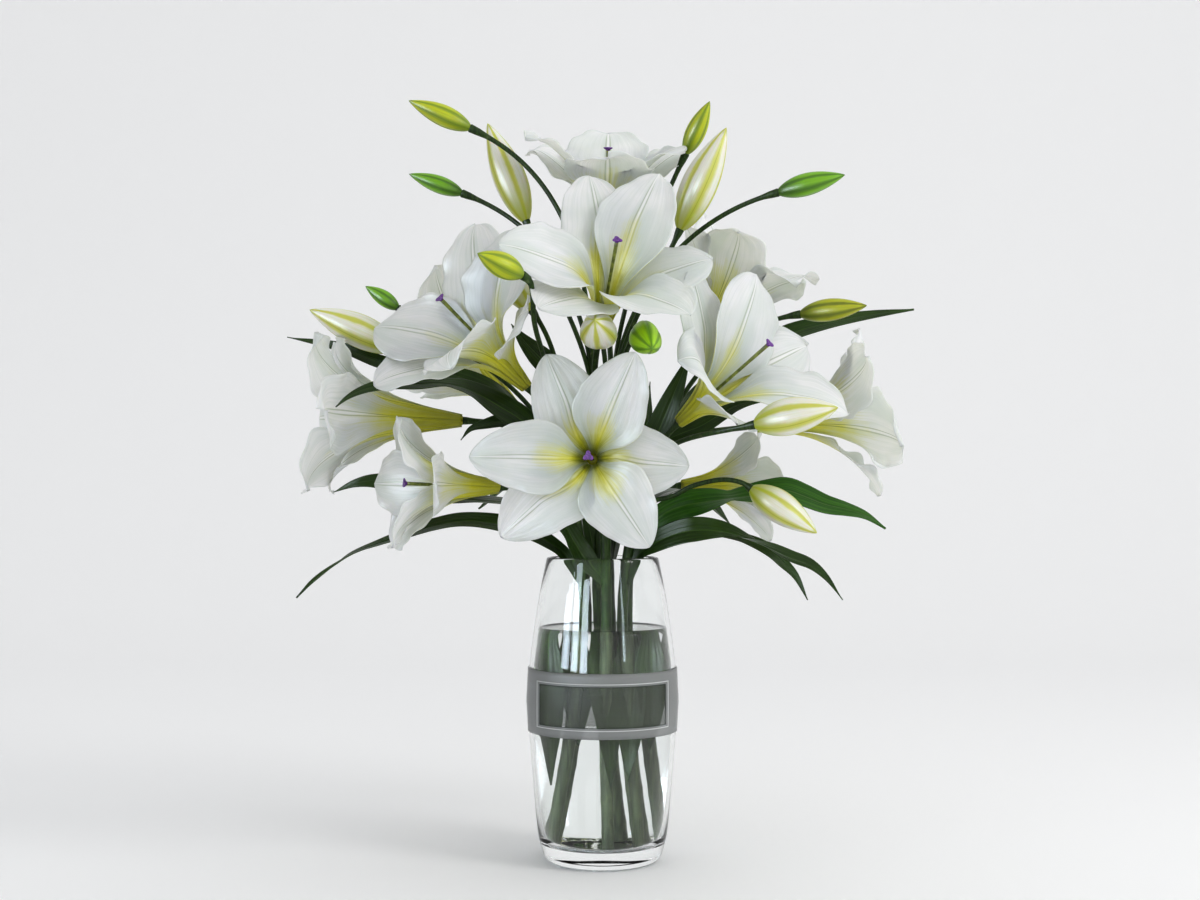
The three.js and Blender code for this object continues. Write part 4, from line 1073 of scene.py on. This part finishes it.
def stalk_line(shoot, share, end, direction, via):
    """A stalk's line: a cubic that leaves the shoot along it and arrives along the flower's axis,
    or a smooth line through points of its own."""
    at = share * (len(shoot) - 1)
    low = int(at)
    above = shoot[min(low + 1, len(shoot) - 1)]
    start = shoot[low] + (above - shoot[low]) * (at - low)
    if via:
        return even(catmull([start, *via, end], 12), STALK_POINTS)
    heading = unit(above - shoot[max(low - 1, 0)])
    span = np.linalg.norm(end - start)
    rise, arrive = start + 0.35 * span * heading, end - 0.4 * span * direction
    t = np.linspace(0, 1, 60)[:, None]
    line = (
        (1 - t) ** 3 * start + 3 * (1 - t) ** 2 * t * rise
        + 3 * (1 - t) * t**2 * arrive + t**3 * end
    )
    return even(line, STALK_POINTS)


def stalk(shoot, share, flower, face, knob, past, radius, knob_share, root):
    """A flower's stalk from its share along the shoot: a rod that starts thicker and swells by
    the knob under the flower."""
    axis = unit(face)
    end = np.array(flower["base"], float) + past * axis
    line = stalk_line(shoot, share, end, axis, flower.get("via"))
    at = np.linspace(0, 1, len(line))
    swell = knob * ease((at - (1 - knob_share)) / knob_share)
    return rod(line, radius + swell + root * ease(1 - at * 5), STALK_SIDES)


def leaf_shape(midrib, width, roll, fold):
    """A leaf's middle surface and thickness.  s runs along the midrib and t across.  The half
    width grows from the stem and tapers to the tip; the blade is folded into a shallow V along
    the midrib, rolled about it by angles at equal steps of s, rippled along its rims and ridged
    by parallel veins."""
    line = even(catmull(midrib, 24), LEAF_ROWS)
    along = unit(np.gradient(line, axis=0))
    s, t = blade_grid(LEAF_ROWS, LEAF_COLUMNS)
    rim = np.abs(t)
    angle = np.radians(np.interp(s[:, :1], np.linspace(0, 1, len(roll)), roll))
    side = unit(np.cross(along, [0.0, 0, 1]))
    side = side * np.cos(angle) + np.cross(along, side) * np.sin(angle)
    lift = np.cross(side, along)
    reach = width * (0.5 + 0.5 * ease(s / 0.35)) * (1 - np.maximum((s - 0.35) / 0.65, 0) ** 1.9)
    reach = np.maximum(reach, 0.25)
    ripple = 0.08 * width * np.sin(9 * s + 2 * np.sign(t)) * rim**2 * ease((s - 0.1) / 0.3)
    veins = 0.12 * np.cos(t * math.pi * 7) * (1 - rim**6) * np.minimum(reach / width * 1.5, 1)
    keel = -0.5 * np.exp(-((t * reach / 1.2) ** 2)) * np.minimum(reach / width * 2, 1)
    height = np.sqrt(t**2 + 0.01) * fold * reach + ripple + veins + keel
    middle = (
        line[:, None] + side[:, None] * (t * reach)[..., None] + lift[:, None] * height[..., None]
    )
    return middle, 0.45 + 0.5 * (1 - rim), s, t


def leaf_material():
    """Glossy dark green blade.  Its map holds the place across, with one more on the leaf that is
    painted lit, and along.  Veins run lengthwise, the midrib is lighter, and the painted lit leaf
    is a brighter green, as painted light for the key light that falls on it."""
    material, shader = new_material("leaf_blade", Roughness=0.28, Specular_IOR_Level=0.3)
    spot, number, along = mapped(material.node_tree)
    across = maths("FRACT", number)
    painted_lit = maths("GREATER_THAN", number, 1.0)
    mottle = noise(spot, 30.0, 3.0)
    stripes = noise(spread(times(across, 26.0), times(along, 1.5)), 1.3, 3.0, 0.6)
    green = blend(ramp(mottle, 0.3, 0.7), (0.013, 0.034, 0.005), (0.026, 0.064, 0.008))
    green = blend(times(ramp(stripes, 0.45, 0.7), 0.6), green, (0.056, 0.115, 0.014))
    # painted light: a brighter green for the one leaf that the key light falls on
    fresh = blend(ramp(stripes, 0.4, 0.7), (0.020, 0.090, 0.004), (0.050, 0.175, 0.008))
    green = blend(painted_lit, green, fresh)
    rib = fall(maths("ABSOLUTE", maths("SUBTRACT", across, 0.5)), 0.008, 0.03)
    green = blend(times(rib, 0.6), green, (0.09, 0.17, 0.04))
    feed(shader, Base_Color=green, Normal=bump(stripes, 0.35, 0.0005))
    return material


def stem_material():
    """Round green stem: darker above the water, and paler and greyer where it stands in it as
    painted light for its look through the water and the glass, with fine lengthwise lines and small
    pale flecks."""
    material, shader = new_material("stem_skin", Roughness=0.4, Specular_IOR_Level=0.25)
    tree = material.node_tree
    spot = node(tree, "ShaderNodeTexCoord")["Object"]
    height = node(tree, "ShaderNodeSeparateXYZ", in0=spot)["Z"]
    lengthwise = node(tree, "ShaderNodeMapping", Vector=spot, Scale=(1.0, 1.0, 0.06))[0]
    lines = noise(lengthwise, 520.0)
    dark = blend(ramp(lines, 0.35, 0.7), (0.016, 0.038, 0.007), (0.038, 0.080, 0.014))
    # painted light: paler and greyer under the water, for the stems' look through water and glass
    painted_underwater = blend(ramp(lines, 0.35, 0.7), (0.085, 0.105, 0.06), (0.15, 0.19, 0.10))
    colour = blend(ramp(height, 0.185, 0.195), painted_underwater, dark)
    flecks = times(ramp(noise(spot, 160.0), 0.6, 0.75), 0.2)
    colour = blend(flecks, colour, (0.3, 0.36, 0.15))
    feed(shader, Base_Color=colour, Normal=bump(lines, 0.3, 0.0004))
    return material


leaf_blade = leaf_material()
stem_skin = stem_material()
BLOOM_BY_NAME = {bloom["name"]: bloom for bloom in BLOOMS}
BUD_BY_NAME = {bud["name"]: bud for bud in BUDS}


def make_stem(stem):
    """One leafy stem: the shoot and its stalks as one piece and its leaves as another."""
    points = np.array(stem["shoot"], float)
    points[0, 2] = STEM_FOOT
    shoot = even(catmull(points, 40), SHOOT_POINTS)
    share = np.linspace(0, 1, SHOOT_POINTS)
    knots = KNOT * np.sin(share * 40) ** 8
    taper = SHOOT_TAPER * ease((share - TAPER_FROM) / (1 - TAPER_FROM))
    rods = [rod(shoot, SHOOT_RADIUS + knots - taper, SHOOT_SIDES)]
    for name, where in stem["blooms"].items():
        bloom = BLOOM_BY_NAME[name]
        rods.append(stalk(shoot, where, bloom, bloom["face"], 0.9, **BLOOM_STALK))
    for name, where in stem["buds"].items():
        bud = BUD_BY_NAME[name]
        knob = min(0.2 * bud["radius"], 1.6)
        face = np.subtract(bud["tip"], bud["base"])
        rods.append(stalk(shoot, where, bud, face, knob, **BUD_STALK))
    shoots = put_mesh("shoot_" + stem["name"], *joined(rods), stem_skin)
    blades, uv = [], []
    for midrib, width, roll, fold, *painted_lit in stem["leaves"] + stem.get("sunk", []):
        middle, thickness, s, t = leaf_shape(midrib, width, roll, fold)
        blades.append(sheet_solid(middle, thickness))
        uv += [map_of(s, t, len(painted_lit))] * 2
    leaves = put_mesh("leaves_" + stem["name"], *joined(blades), leaf_blade, np.vstack(uv))
    for piece in (shoots, leaves):
        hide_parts(stem["name"])
        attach(piece, "root")


for stem in STEMS:
    make_stem(stem)


# ------------------------------------------------------------------ last update
bpy.context.view_layer.update()
